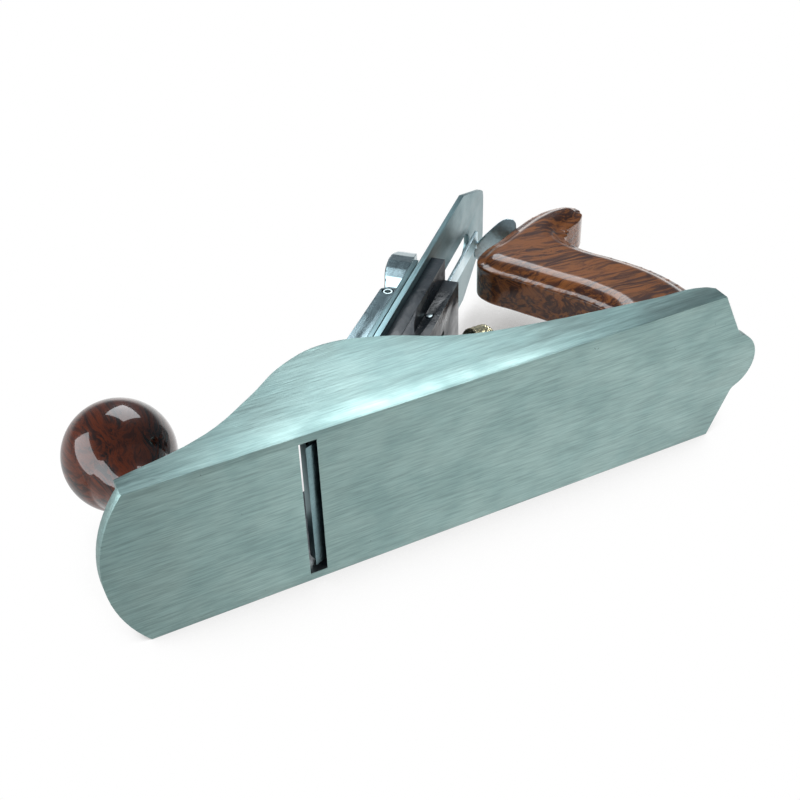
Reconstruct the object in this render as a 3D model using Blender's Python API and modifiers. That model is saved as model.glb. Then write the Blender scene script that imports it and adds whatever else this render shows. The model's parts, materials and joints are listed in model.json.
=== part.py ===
"""Bench smoothing plane, No. 4 size, as separate pieces with real joints.

Metres, +Z up.  The sole rests on z = 0, +X points to the toe and +Y to the
plane's left side.  The origin is the middle of the sole's bounding box.
Pieces on the bed are placed in a frame of their own: its X runs down the bed
towards the mouth, its Y is the plane's Y and its Z stands off the bed.
"""
from math import acos, atan2, cos, pi, radians, sin, sqrt, tan

import bmesh
import bpy
from mathutils import Matrix, Vector

MM = 0.001

# ---------------------------------------------------------------- clearances
GAP = 0.3 * MM              # between faces that touch
PIN_GAP = 0.3 * MM          # round a pin or a screw, on the radius
CUT = 2.0 * MM              # how far a cutter passes the face it opens
SINK = 0.6 * MM             # how far a joined lump sits in its neighbour

# ---------------------------------------------------------------- body casting
SOLE_LENGTH = 248.8 * MM    # toe tip to heel tip
TOE_SAGITTA = 11.0 * MM     # how far the toe's arc stands past its corners
HEEL_REACH = 17.7 * MM      # how far the heel's lobe stands past its corners
HEEL_LOBE_RADIUS = 12.5 * MM
HEEL_SHOULDER = 6.3 * MM    # the shoulder's slope, over its width
HEEL_SHOULDER_WIDTH = 13.5 * MM
HEEL_FILLET = 4.0 * MM
FLOOR = 4.5 * MM
CHEEK = 3.0 * MM
IRON_WIDTH = 50.8 * MM
IRON_ROOM = 2.6 * MM        # from the iron's side to the cheek
SOLE_WIDTH = IRON_WIDTH + 2 * (IRON_ROOM + CHEEK)
CHEEK_TOE_HEIGHT = 7.9 * MM
CHEEK_HEEL_HEIGHT = 7.3 * MM
CHEEK_PEAK = 42.3 * MM
CHEEK_PEAK_X = 31.0 * MM
MOUTH_FRONT_X = 57.4 * MM
MOUTH_LENGTH = 6.15 * MM
RIB_WIDTH = 4.0 * MM
RIB_HEIGHT = FLOOR + 5.5 * MM

# ---------------------------------------------------------------- bed and frog
BED_ANGLE = radians(45)
BED_X = 52.5 * MM           # where the bed's plane meets the sole's plane
FROG_SIDE_ROOM = 6.0 * MM   # from the frog's side to the cheek
FROG_WIDTH = IRON_WIDTH + 2 * (IRON_ROOM - FROG_SIDE_ROOM)
FROG_TOP = 124.0 * MM       # along the bed, from the sole's plane
FROG_PLATE = 5.4 * MM
FROG_WALL = 3.6 * MM
FROG_SPINE = 11.0 * MM      # thickness of the middle of the frog's plate
FROG_SPINE_WIDTH = 26.0 * MM
FROG_SPINE_FOOT = 56.0 * MM
FROG_CHANNEL_WIDTH = 21.0 * MM
FROG_CHANNEL_DEPTH = 4.7 * MM
FROG_CHANNEL_FOOT = 52.0 * MM
FROG_BACK_X = -1.0 * MM
SEAT_RISE = 5.2 * MM
SEAT_TOP = FLOOR + SEAT_RISE
SEAT_WIDTH = FROG_WIDTH - 4 * MM
SEAT_BACK_X = 0.0 * MM
FROG_BASE_TOP = SEAT_TOP + 8.3 * MM
RIDGE_WIDTH = 12.0 * MM     # guide ridge on the seat, in a groove of the frog
RIDGE_TOP = SEAT_TOP + 4.8 * MM
FROG_TRAVEL = 0.8 * MM      # each way
FROG_SCREW_X = 20.0 * MM
FROG_SCREW_Y = 12.0 * MM
FROG_SCREW_RADIUS = 2.4 * MM
FROG_SCREW_HEAD = 4.2 * MM
FROG_SCREW_FOOT = 3.0 * MM
FROG_POCKET_RADIUS = 6.2 * MM
WASHER_RADIUS = 4.8 * MM
WASHER_THICKNESS = 1.2 * MM
ADJUST_Z = FLOOR + 5.0 * MM
ADJUST_RADIUS = 3.0 * MM
ADJUST_NECK = 2.2 * MM
ADJUST_HEAD = 4.4 * MM
ADJUST_REACH = 15.0 * MM    # thread in the seat
CLIP_THICKNESS = 1.5 * MM
CLIP_WIDTH = 12.0 * MM
CLIP_SCREW_Z = SEAT_TOP + 11.3 * MM
CLIP_SCREW_RADIUS = 1.5 * MM
CLIP_SCREW_HEAD = 3.0 * MM
CLIP_SCREW_REACH = 4.0 * MM

# ---------------------------------------------------------------- depth adjuster
YOKE_ALONG = 97.8 * MM      # the yoke's pin, along the bed
YOKE_BEHIND = 7.1 * MM      # and behind it
YOKE_PIN_RADIUS = 1.4 * MM
YOKE_WIDTH = 5.6 * MM
YOKE_HUB_RADIUS = 3.3 * MM
YOKE_TIP_ALONG = 95.8 * MM
YOKE_TIP_HEIGHT = 3.9 * MM
YOKE_TIP_WIDTH = 3.2 * MM   # finger's end, along the bed
YOKE_FORK = 1.9 * MM        # thickness of the fork in the wheel's groove
YOKE_FORK_CHEEK = 3.2 * MM  # width of each of its legs
YOKE_FORK_FOOT = 1.5 * MM   # how far the legs reach below the stud's axis
YOKE_FORK_DROP = 0.9 * MM   # room over the wheel's neck for the fork to swing down
STUD_Z = 46.0 * MM
STUD_RADIUS = 3.5 * MM
STUD_END_X = -42.5 * MM
STUD_REACH = 12.0 * MM      # thread in the frog
STUD_BOSS_RADIUS = 7.0 * MM
STUD_BOSS_X = -15.5 * MM
WHEEL_FRONT_X = -25.2 * MM
WHEEL_FLANGE = 1.8 * MM
WHEEL_FLANGE_RADIUS = 8.2 * MM
WHEEL_GROOVE = 4.6 * MM
WHEEL_NECK_RADIUS = 5.2 * MM
WHEEL_RIM = 7.0 * MM
WHEEL_RADIUS = 12.7 * MM

# ---------------------------------------------------------------- lateral adjuster
LEVER_PIVOT = 117.0 * MM
LEVER_BEHIND = 1.7 * MM
LEVER_THICKNESS = 1.5 * MM
LEVER_WIDTH = 9.0 * MM
LEVER_NECK_WIDTH = 6.5 * MM
LEVER_TOP = 180.0 * MM
ROLLER_ALONG = 107.0 * MM
ROLLER_RADIUS = 5.1 * MM
ROLLER_RISE = 1.8 * MM      # how far the roller stands into the iron's slot
RIVET_RADIUS = 1.5 * MM
RIVET_HEAD = 2.8 * MM
RIVET_HEAD_THICKNESS = 0.8 * MM
TAB_BEHIND = 8.4 * MM       # middle of the thumb tab, behind the arm
TAB_TURN = radians(41)      # the tab's long way, from the arm's width
TAB_LONG = 11.5 * MM        # half length
TAB_WIDE = 4.6 * MM         # half width
TAB_CURL = 3.0 * MM

# ---------------------------------------------------------------- iron and chipbreaker
IRON_LENGTH = 201.5 * MM
IRON_THICKNESS = 2.1 * MM
IRON_EDGE = -1.5 * MM       # edge at rest, along the bed
IRON_CLIP_LENGTH = 31.0 * MM
IRON_CLIP_WIDTH = 12.0 * MM
IRON_BEVEL = radians(25)
SLOT_WIDTH = 11.1 * MM
SLOT_FOOT = 50.0 * MM
SLOT_TOP = 176.5 * MM
SLOT_EYE_RADIUS = 10.5 * MM
BREAKER_THICKNESS = 2.0 * MM
BREAKER_SETBACK = 1.6 * MM  # behind the iron's edge
BREAKER_TOP = 121.0 * MM
BREAKER_HUMP = 2.6 * MM
BREAKER_HUMP_LENGTH = 27.0 * MM
BREAKER_SCREW_ALONG = 83.0 * MM
BREAKER_SCREW_RADIUS = 3.0 * MM
BREAKER_SCREW_HEAD = 7.8 * MM
BREAKER_SCREW_HEAD_THICKNESS = 3.0 * MM
BREAKER_KEY_WIDTH = 10.0 * MM

# ---------------------------------------------------------------- lever cap
CAP_FOOT = 14.0 * MM
CAP_TOP = 102.0 * MM
CAP_HEIGHT = IRON_THICKNESS + BREAKER_THICKNESS + 8.2 * MM  # top face above the bed
CAP_LIP = 1.2 * MM          # thickness at the foot
CAP_SLOPE_LENGTH = 36.0 * MM
CAP_SLOPE_STEPS = 10
CAP_HALF_WIDTH_FOOT = IRON_WIDTH / 2 - 1.4 * MM
CAP_HALF_WIDTH_TOP = IRON_WIDTH / 2 - 4.4 * MM
CAP_WALL = 2.8 * MM
CAP_WEB = 3.0 * MM
CAP_SCREW_ALONG = 64.0 * MM
CAP_SCREW_RADIUS = 3.2 * MM
CAP_SCREW_HEAD = 5.6 * MM
CAP_SCREW_HEAD_HEIGHT = 2.4 * MM
CAP_TRAVEL = 9.0 * MM
KEY_EYE_RADIUS = 6.3 * MM
CAM_PIN_ALONG = 98.3 * MM
CAM_PIN_HEIGHT = CAP_HEIGHT - 3.1 * MM
CAM_PIN_RADIUS = 2.1 * MM
CAM_PIN_BORE = 1.1 * MM
CAM_RADIUS = 3.45 * MM
CAM_ECCENTRIC = 0.25 * MM
CAM_HALF_WIDTH = 16.4 * MM
CAM_TIP = 148.0 * MM
CAM_OPENING_HALF_WIDTH = 17.0 * MM
CAM_OPENING_FOOT = 92.5 * MM
PADDLE_HALF_WIDTH = 18.5 * MM
PADDLE_RISE = CAP_HEIGHT + 5.2 * MM
SPRING_WIDTH = 15.0 * MM
SPRING_THICKNESS = 0.6 * MM
SPRING_RIVET_ALONG = 78.0 * MM
SPRING_RIVET_RADIUS = 1.3 * MM

# ---------------------------------------------------------------- knob and tote
KNOB_X = 102.0 * MM
KNOB_BALL_Z = 56.7 * MM
KNOB_BALL_RADIUS = 19.8 * MM
KNOB_BASE_RADIUS = 14.5 * MM
KNOB_WAIST_RADIUS = 9.6 * MM
KNOB_BOSS_RADIUS = 13.5 * MM
KNOB_BOSS_TOP = FLOOR + 3.5 * MM
BOLT_RADIUS = 2.8 * MM
BOLT_FOOT_Z = 1.8 * MM
NUT_RADIUS = 6.0 * MM
NUT_SLEEVE_RADIUS = 4.2 * MM
NUT_SLEEVE_LENGTH = 16.0 * MM
NUT_HEAD = 3.0 * MM
TOTE_THICKNESS = 22.0 * MM
TOTE_ROUND = 3.5 * MM
TOTE_BASE_Z = FLOOR + GAP
TOTE_ROD_TOP = Vector((-79.5, 0.0, 108.6)) * MM
TOTE_ROD_LEAN = radians(13)
TOTE_BOSS_RADIUS = 8.0 * MM
TOTE_BOSS_TOP = FLOOR + 5.5 * MM
TOTE_PIP_X = -50.0 * MM     # pip on the floor that locates the tote's toe
TOTE_PIP_RADIUS = 2.5 * MM
TOTE_PIP_RISE = 2.0 * MM

# ---------------------------------------------------------------- colours
GROUND_IRON = ((0.30, 0.40, 0.39), 0.38, 1.0)
JAPANNING = ((0.012, 0.013, 0.015), 0.25, 0.0)
BRIGHT_STEEL = ((0.55, 0.60, 0.62), 0.30, 1.0)
CHROME = ((0.75, 0.80, 0.82), 0.12, 1.0)
BRASS = ((0.78, 0.58, 0.22), 0.28, 1.0)
KNOB_WOOD = ((0.055, 0.012, 0.006), 0.15, 0.0)
TOTE_WOOD = ((0.28, 0.10, 0.03), 0.25, 0.0)

ROOT2 = sqrt(2.0)


# ================================================================ scene
def clear_scene():
    for obj in list(bpy.data.objects):
        bpy.data.objects.remove(obj, do_unlink=True)
    for collection in list(bpy.data.collections):
        bpy.data.collections.remove(collection)


def new_collection(name):
    collection = bpy.data.collections.new(name)
    bpy.context.scene.collection.children.link(collection)
    return collection


def new_empty(name, location, rotation=(0, 0, 0)):
    empty = bpy.data.objects.new(name, None)
    empty.location = location
    empty.rotation_euler = rotation
    empty.empty_display_size = 0.02
    PARTS.objects.link(empty)
    return empty


def new_material(name, finish):
    colour, roughness, metallic = finish
    material = bpy.data.materials.new(name)
    material.use_nodes = True
    shader = material.node_tree.nodes["Principled BSDF"]
    shader.inputs["Base Color"].default_value = (*colour, 1.0)
    shader.inputs["Roughness"].default_value = roughness
    shader.inputs["Metallic"].default_value = metallic
    return material


# ================================================================ shapes
def mesh_object(name, mesh, parent=None):
    obj = bpy.data.objects.new(name, mesh)
    CUTTERS.objects.link(obj)
    obj.hide_render = True
    obj.display_type = "WIRE"
    obj.parent = parent
    return obj


def piece(obj, name, finish):
    """Turns a shape into a finished piece: its node's name and material."""
    CUTTERS.objects.unlink(obj)
    PARTS.objects.link(obj)
    obj.hide_render = False
    obj.display_type = "TEXTURED"
    obj.name = name
    obj.data.materials.clear()
    obj.data.materials.append(new_material(name, finish))
    return obj


def set_origin(obj, point):
    """Moves the origin to a point given in the parent's frame, mesh unmoved."""
    point = Vector(point)
    local = obj.matrix_basis.inverted() @ point
    obj.data.transform(Matrix.Translation(-local))
    obj.location = point
    return obj


def block(name, low, high, parent=None, turn=(0, 0, 0)):
    """A box between two corners, or a turned one about its own middle."""
    low, high = Vector(low), Vector(high)
    bm = bmesh.new()
    bmesh.ops.create_cube(bm, size=1.0)
    bmesh.ops.scale(bm, vec=high - low, verts=bm.verts)
    mesh = bpy.data.meshes.new(name)
    bm.to_mesh(mesh)
    bm.free()
    obj = mesh_object(name, mesh, parent)
    obj.location = (low + high) / 2
    obj.rotation_euler = turn
    return obj


def rod(name, radius, start, end, parent=None, sides=32, end_radius=None):
    """A cylinder, or a cone, from one point to another."""
    start, end = Vector(start), Vector(end)
    bm = bmesh.new()
    bmesh.ops.create_cone(
        bm, cap_ends=True, segments=sides, radius1=radius,
        radius2=radius if end_radius is None else end_radius, depth=(end - start).length)
    mesh = bpy.data.meshes.new(name)
    bm.to_mesh(mesh)
    bm.free()
    mesh.shade_smooth()
    mesh.set_sharp_from_angle(angle=radians(40))
    obj = mesh_object(name, mesh, parent)
    obj.location = (start + end) / 2
    obj.rotation_euler = (end - start).to_track_quat("Z", "Y").to_euler()
    return obj


def turned(name, profile, start, towards, parent=None, steps=32):
    """A turned shape: (radius, height) down its outer side, on any axis."""
    bm = bmesh.new()
    corners = [bm.verts.new((radius, 0, height)) for radius, height in profile]
    for first, second in zip(corners, corners[1:] + corners[:1]):
        bm.edges.new((first, second))
    if profile[0][0] == 0 and profile[-1][0] == 0:
        bm.edges.remove(bm.edges.get((corners[-1], corners[0])))
    mesh = bpy.data.meshes.new(name)
    bm.to_mesh(mesh)
    bm.free()
    obj = mesh_object(name, mesh, parent)
    obj.location = start
    obj.rotation_euler = Vector(towards).to_track_quat("Z", "Y").to_euler()
    screw = obj.modifiers.new("turn", "SCREW")
    screw.axis = "Z"
    screw.steps = screw.render_steps = steps
    screw.use_merge_vertices = True
    screw.merge_threshold = 0.00001
    screw.use_smooth_shade = True
    return obj


def to_mesh_object(curve_object):
    """Replaces a curve object by a welded mesh, so that it can be cut."""
    bpy.context.view_layer.update()
    evaluated = curve_object.evaluated_get(bpy.context.evaluated_depsgraph_get())
    mesh = bpy.data.meshes.new_from_object(evaluated)
    bm = bmesh.new()
    bm.from_mesh(mesh)
    bmesh.ops.remove_doubles(bm, verts=bm.verts, dist=0.000002)
    bmesh.ops.dissolve_degenerate(bm, edges=bm.edges, dist=0.000002)
    bmesh.ops.recalc_face_normals(bm, faces=bm.faces)
    bm.to_mesh(mesh)
    bm.free()
    solid = mesh_object(curve_object.name, mesh)
    solid.matrix_world = curve_object.matrix_world
    bpy.data.objects.remove(curve_object, do_unlink=True)
    return solid


def plate(name, outline, low, high, upright=False, holes=(), parent=None, rounding=0.0):
    """A flat outline with a thickness from low to high.

    A level plate's outline is (x, y) and its thickness is along Z; an upright
    one's outline is (x, z) and its thickness is along Y.  An outline is a list
    of points, or a list of (x, y, "smooth" or "corner") for a soft curve.
    """
    curve = bpy.data.curves.new(name, "CURVE")
    curve.dimensions = "2D"
    curve.fill_mode = "BOTH"
    curve.extrude = (high - low) / 2 - rounding
    curve.bevel_depth = rounding
    curve.bevel_resolution = 1
    curve.offset = -rounding
    for loop in (outline, *holes):
        add_loop(curve, loop)
    obj = bpy.data.objects.new(name, curve)
    CUTTERS.objects.link(obj)
    middle = (low + high) / 2
    obj.location = (0, middle, 0) if upright else (0, 0, middle)
    obj.rotation_euler = (pi / 2 if upright else 0, 0, 0)
    solid = to_mesh_object(obj)
    solid.parent = parent
    return solid


def add_loop(curve, loop):
    if len(loop[0]) == 2:
        spline = curve.splines.new("POLY")
        spline.points.add(len(loop) - 1)
        for point, (x, y) in zip(spline.points, loop):
            point.co = (x, y, 0, 1)
    else:
        spline = curve.splines.new("BEZIER")
        spline.bezier_points.add(len(loop) - 1)
        spline.resolution_u = 5
        for point, (x, y, kind) in zip(spline.bezier_points, loop):
            point.co = (x, y, 0)
            handle = "AUTO" if kind == "smooth" else "VECTOR"
            point.handle_left_type = point.handle_right_type = handle
    spline.use_cyclic_u = True


def arc(centre, radius, start, end, steps):
    """Points along an arc, both ends among them."""
    return [(centre[0] + radius * cos(start + (end - start) * i / steps),
             centre[1] + radius * sin(start + (end - start) * i / steps))
            for i in range(steps + 1)]


def circle(centre, radius, steps=32):
    return arc(centre, radius, 0, 2 * pi, steps)[:-1]


def slot(start, end, radius, steps=12):
    """A long hole with round ends, along X."""
    return (arc((start, 0), radius, pi / 2, 3 * pi / 2, steps)
            + arc((end, 0), radius, -pi / 2, pi / 2, steps))


def boolean(obj, tool, operation):
    modifier = obj.modifiers.new(tool.name, "BOOLEAN")
    modifier.operation = operation
    modifier.solver = "EXACT"
    modifier.object = tool
    return obj


def cut(obj, *tools):
    for tool in tools:
        boolean(obj, tool, "DIFFERENCE")
    return obj


def join(obj, *tools):
    for tool in tools:
        boolean(obj, tool, "UNION")
    return obj


def bed_point(along, behind=0.0, side=0.0):
    """World place of a point given along the bed and behind its plane."""
    return Vector((BED_X - along * cos(BED_ANGLE) - behind * sin(BED_ANGLE), side,
                   along * sin(BED_ANGLE) - behind * cos(BED_ANGLE)))


def bed_xz(along, behind=0.0):
    point = bed_point(along, behind)
    return (point.x, point.z)


# ================================================================ body casting
def toe_corner_x():
    return SOLE_LENGTH / 2 - TOE_SAGITTA


def heel_corner_x():
    return -SOLE_LENGTH / 2 + HEEL_REACH


def sole_outline():
    """An arc at the toe, straight sides and a lobed heel."""
    half = SOLE_WIDTH / 2
    radius = (half ** 2 + TOE_SAGITTA ** 2) / (2 * TOE_SAGITTA)
    toe_centre = (SOLE_LENGTH / 2 - radius, 0.0)
    swing = acos((toe_corner_x() - toe_centre[0]) / radius)
    heel = heel_side()
    return (arc(toe_centre, radius, -swing, swing, 20) + heel
            + [(x, -y) for x, y in reversed(heel[:-1])])


def heel_side():
    """The heel's +Y side: sloping shoulder, inner fillet and half of the lobe."""
    corner = Vector((heel_corner_x(), SOLE_WIDTH / 2))
    slope = Vector((-HEEL_SHOULDER, -HEEL_SHOULDER_WIDTH)).normalized()
    outward = Vector((slope.y, -slope.x))
    lobe = Vector((-SOLE_LENGTH / 2 + HEEL_LOBE_RADIUS, 0.0))
    base = corner + outward * HEEL_FILLET
    # the fillet's centre is a fillet's radius off the shoulder, outside the lobe
    offset = base - lobe
    reach = HEEL_LOBE_RADIUS + HEEL_FILLET
    along = -offset.dot(slope)
    root = sqrt(reach ** 2 - (offset + slope * along).length_squared)
    centre = base + slope * (along - root)
    to_lobe = (lobe - centre).normalized()
    first = atan2(-outward.y, -outward.x)
    last = atan2(to_lobe.y, to_lobe.x)
    contact = atan2(-to_lobe.y, -to_lobe.x)
    return ([tuple(corner)] + arc(centre, HEEL_FILLET, first, last, 5)
            + arc(lobe, HEEL_LOBE_RADIUS, contact, pi, 8)[1:])


def cheek_outline():
    """The cheek's side view, as a soft curve over a straight foot."""
    toe, heel = toe_corner_x(), heel_corner_x()
    return [
        (heel, 0.5 * MM, "corner"),
        (toe, 0.5 * MM, "corner"),
        (toe, CHEEK_TOE_HEIGHT, "corner"),
        (82 * MM, 15.3 * MM, "smooth"),
        (63 * MM, 26.6 * MM, "smooth"),
        (47 * MM, 37.8 * MM, "smooth"),
        (CHEEK_PEAK_X, CHEEK_PEAK, "smooth"),
        (12 * MM, 37.6 * MM, "smooth"),
        (-12 * MM, 25.2 * MM, "smooth"),
        (-41 * MM, 18.0 * MM, "smooth"),
        (-85 * MM, 11.5 * MM, "smooth"),
        (heel + 3 * MM, CHEEK_HEEL_HEIGHT + 1.6 * MM, "smooth"),
        (heel, CHEEK_HEEL_HEIGHT - 0.8 * MM, "corner"),
    ]


def make_body_casting():
    body = plate("body_floor", sole_outline(), 0.0, FLOOR)
    half = SOLE_WIDTH / 2
    for side, sign in (("left", 1), ("right", -1)):
        low, high = sorted((sign * half, sign * (half - CHEEK)))
        cheek = plate("cheek_" + side, cheek_outline(), low, high, upright=True)
        join(body, cheek)
    mouth_back = MOUTH_FRONT_X - MOUTH_LENGTH
    seat_front = mouth_back - SEAT_TOP
    seat = plate("frog_seat", [
        (SEAT_BACK_X, FLOOR - SINK), (seat_front + SEAT_TOP - FLOOR + SINK, FLOOR - SINK),
        (seat_front, SEAT_TOP), (SEAT_BACK_X, SEAT_TOP)],
        -SEAT_WIDTH / 2, SEAT_WIDTH / 2, upright=True)
    ridge = block("seat_ridge", (SEAT_BACK_X + SINK, -RIDGE_WIDTH / 2, SEAT_TOP - SINK),
                  (seat_front - 8 * MM, RIDGE_WIDTH / 2, RIDGE_TOP))
    front_rib = block("front_rib", (MOUTH_FRONT_X + 4 * MM, -half + CHEEK - SINK, FLOOR - SINK),
                      (MOUTH_FRONT_X + 4 * MM + RIB_WIDTH, half - CHEEK + SINK, RIB_HEIGHT))
    knob_boss = rod("knob_boss", KNOB_BOSS_RADIUS, (KNOB_X, 0, FLOOR - SINK), (KNOB_X, 0, KNOB_BOSS_TOP))
    foot = tote_rod_point(0.0)
    tote_boss = rod("tote_boss", TOTE_BOSS_RADIUS, (foot.x, 0, FLOOR - SINK),
                    (foot.x, 0, TOTE_BOSS_TOP), sides=24)
    pip = rod("tote_pip", TOTE_PIP_RADIUS, (TOTE_PIP_X, 0, FLOOR - SINK),
              (TOTE_PIP_X, 0, FLOOR + TOTE_PIP_RISE), sides=16)
    join(body, seat, ridge, front_rib, knob_boss, tote_boss, pip)

    mouth = plate("mouth", [
        (MOUTH_FRONT_X, -CUT), (MOUTH_FRONT_X, FLOOR + CUT), (mouth_back - FLOOR - CUT, FLOOR + CUT),
        (mouth_back, 0.0), (mouth_back, -CUT)],
        -half + CHEEK, half - CHEEK, upright=True)
    cut(body, mouth)
    for sign in (1, -1):
        start = (FROG_SCREW_X, sign * FROG_SCREW_Y, FROG_SCREW_FOOT - 0.7 * MM)
        end = (FROG_SCREW_X, sign * FROG_SCREW_Y, SEAT_TOP + CUT)
        cut(body, rod("seat_hole", FROG_SCREW_RADIUS + PIN_GAP, start, end, sides=24))
    cut(body, rod("adjust_hole", ADJUST_RADIUS + PIN_GAP, (SEAT_BACK_X - CUT, 0, ADJUST_Z),
                  (ADJUST_REACH + 2 * FROG_TRAVEL + GAP, 0, ADJUST_Z), sides=24))
    cut(body, rod("knob_hole", BOLT_RADIUS + PIN_GAP, (KNOB_X, 0, BOLT_FOOT_Z - GAP),
                  (KNOB_X, 0, KNOB_BOSS_TOP + CUT), sides=24))
    cut(body, rod("tote_hole", BOLT_RADIUS + PIN_GAP, tote_rod_point(BOLT_FOOT_Z - GAP),
                  tote_rod_point(TOTE_BOSS_TOP + 2 * CUT), sides=24))
    return piece(body, "body_casting", GROUND_IRON)


# ================================================================ frog
def make_frog():
    half = FROG_WIDTH / 2
    base_z = SEAT_TOP + GAP
    foot = base_z * ROOT2
    frog = plate("frog_plate", [
        bed_xz(foot, 0), bed_xz(FROG_TOP, 0), bed_xz(FROG_TOP, FROG_PLATE),
        bed_xz(foot + FROG_PLATE, FROG_PLATE)], -half, half, upright=True)
    wall = [
        (FROG_BACK_X, base_z, "corner"),
        (bed_xz(foot)[0] - SINK, base_z, "corner"),
        (*bed_xz(foot + 2 * SINK, SINK), "corner"),
        (*bed_xz(100 * MM, SINK), "corner"),
        (*bed_xz(92 * MM, FROG_PLATE - SINK), "corner"),
        (-6.5 * MM, 46.5 * MM, "smooth"),
        (FROG_BACK_X - 1.5 * MM, 28 * MM, "smooth")]
    for side, sign in (("left", 1), ("right", -1)):
        low, high = sorted((sign * (half - SINK / 2), sign * (half - FROG_WALL)))
        join(frog, plate("frog_wall_" + side, wall, low, high, upright=True))
    spine = plate("frog_spine", [
        bed_xz(FROG_SPINE_FOOT, SINK), bed_xz(FROG_TOP - SINK, SINK),
        bed_xz(FROG_TOP - SINK, FROG_SPINE), bed_xz(FROG_SPINE_FOOT, FROG_SPINE)],
        -FROG_SPINE_WIDTH / 2, FROG_SPINE_WIDTH / 2, upright=True)
    base = block("frog_base", (FROG_BACK_X + SINK, -half + SINK, base_z + 0.01 * MM),
                 (bed_xz(FROG_BASE_TOP * ROOT2)[0] - 1 * MM, half - SINK, FROG_BASE_TOP))
    boss = rod("stud_boss", STUD_BOSS_RADIUS, (0, 0, STUD_Z), (STUD_BOSS_X, 0, STUD_Z), sides=24)
    pad = block("clip_pad", (FROG_BACK_X, -CLIP_WIDTH / 2 - 1 * MM, FROG_BASE_TOP - 6 * MM),
                (FROG_BACK_X + 6 * MM, CLIP_WIDTH / 2 + 1 * MM, CLIP_SCREW_Z + 6 * MM))
    join(frog, spine, base, boss, pad)

    channel = block("frog_channel", (-FROG_TOP - CUT, -FROG_CHANNEL_WIDTH / 2, -FROG_CHANNEL_DEPTH),
                    (-FROG_CHANNEL_FOOT, FROG_CHANNEL_WIDTH / 2, CUT), parent=BED)
    groove = block("ridge_groove", (FROG_BACK_X - CUT, -RIDGE_WIDTH / 2 - GAP, base_z - CUT),
                   (bed_xz(foot)[0] + CUT, RIDGE_WIDTH / 2 + GAP, RIDGE_TOP + GAP))
    cut(frog, channel, groove)
    for sign in (1, -1):
        y = sign * FROG_SCREW_Y
        pocket = rod("screw_pocket", FROG_POCKET_RADIUS, (FROG_SCREW_X, y, FROG_BASE_TOP),
                     (FROG_SCREW_X, y, 60 * MM), sides=32)
        screw_slot = plate("screw_slot", slot(-FROG_TRAVEL - PIN_GAP, FROG_TRAVEL + PIN_GAP,
                                              FROG_SCREW_RADIUS + PIN_GAP, 8),
                           base_z - CUT, FROG_BASE_TOP + CUT)
        screw_slot.location += Vector((FROG_SCREW_X, y, 0))
        cut(frog, pocket, screw_slot)
    yoke_room = YOKE_WIDTH / 2 + 2 * PIN_GAP
    yoke_slot = block("yoke_slot", (-YOKE_ALONG - 6 * MM, -yoke_room, -FROG_SPINE - 8 * MM),
                      (-YOKE_ALONG + 7.5 * MM, yoke_room, CUT), parent=BED)
    pin = bed_point(YOKE_ALONG, YOKE_BEHIND)
    side_way = Vector((0, FROG_SPINE_WIDTH / 2 + CUT, 0))
    pin_hole = rod("yoke_pin_hole", YOKE_PIN_RADIUS + PIN_GAP, pin - side_way, pin + side_way, sides=20)
    stud_hole = rod("stud_hole", STUD_RADIUS + PIN_GAP, (STUD_BOSS_X - CUT, 0, STUD_Z),
                    (STUD_BOSS_X + STUD_REACH + GAP, 0, STUD_Z), sides=24)
    cap_hole = rod("cap_screw_hole", CAP_SCREW_RADIUS + PIN_GAP, (-CAP_SCREW_ALONG, 0, CUT),
                   (-CAP_SCREW_ALONG, 0, -FROG_SPINE - CUT), parent=BED, sides=24)
    rivet_hole = rod("rivet_hole", RIVET_RADIUS + PIN_GAP, (-LEVER_PIVOT, 0, CUT),
                     (-LEVER_PIVOT, 0, -FROG_SPINE + 2 * MM), parent=BED, sides=20)
    clip_hole = rod("clip_screw_hole", CLIP_SCREW_RADIUS + PIN_GAP, (FROG_BACK_X - CUT, 0, CLIP_SCREW_Z),
                    (FROG_BACK_X + CLIP_SCREW_REACH + GAP, 0, CLIP_SCREW_Z), sides=20)
    cut(frog, yoke_slot, pin_hole, stud_hole, cap_hole, rivet_hole, clip_hole)
    return piece(frog, "frog", JAPANNING)


def slotted_screw(name, radius, head_radius, foot, seat, top, axis_point, towards, finish,
                  parent=None, driver=1.0 * MM):
    """A screw on an axis: shank from foot to seat, head from seat to top."""
    profile = [(0, top), (head_radius * 0.8, top), (head_radius, top - 0.6 * MM), (head_radius, seat),
               (radius, seat), (radius, foot + 0.6 * MM), (radius - 0.6 * MM, foot), (0, foot)]
    screw = turned(name + "_turned", profile, axis_point, towards, parent, steps=24)
    groove = block(name + "_groove", (-head_radius - CUT, -driver / 2, top - 1.1 * MM),
                   (head_radius + CUT, driver / 2, top + CUT), parent=parent)
    turn = Vector(towards).to_track_quat("Z", "Y")
    groove.location = Vector(axis_point) + turn @ groove.location
    groove.rotation_euler = turn.to_euler()
    cut(screw, groove)
    return piece(screw, name, finish)


def make_frog_screws():
    for side, sign in (("left", 1), ("right", -1)):
        place = (FROG_SCREW_X, sign * FROG_SCREW_Y, 0)
        washer_low = FROG_BASE_TOP + GAP
        washer = turned("washer_" + side, [
            (FROG_SCREW_RADIUS + PIN_GAP, washer_low + WASHER_THICKNESS),
            (WASHER_RADIUS, washer_low + WASHER_THICKNESS), (WASHER_RADIUS, washer_low),
            (FROG_SCREW_RADIUS + PIN_GAP, washer_low)], place, (0, 0, 1), steps=24)
        piece(washer, "frog_washer_" + side, BRIGHT_STEEL)
        seat = washer_low + WASHER_THICKNESS + GAP
        slotted_screw("frog_screw_" + side, FROG_SCREW_RADIUS, FROG_SCREW_HEAD, FROG_SCREW_FOOT,
                      seat, seat + 3 * MM, place, (0, 0, 1), BRIGHT_STEEL)


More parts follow.
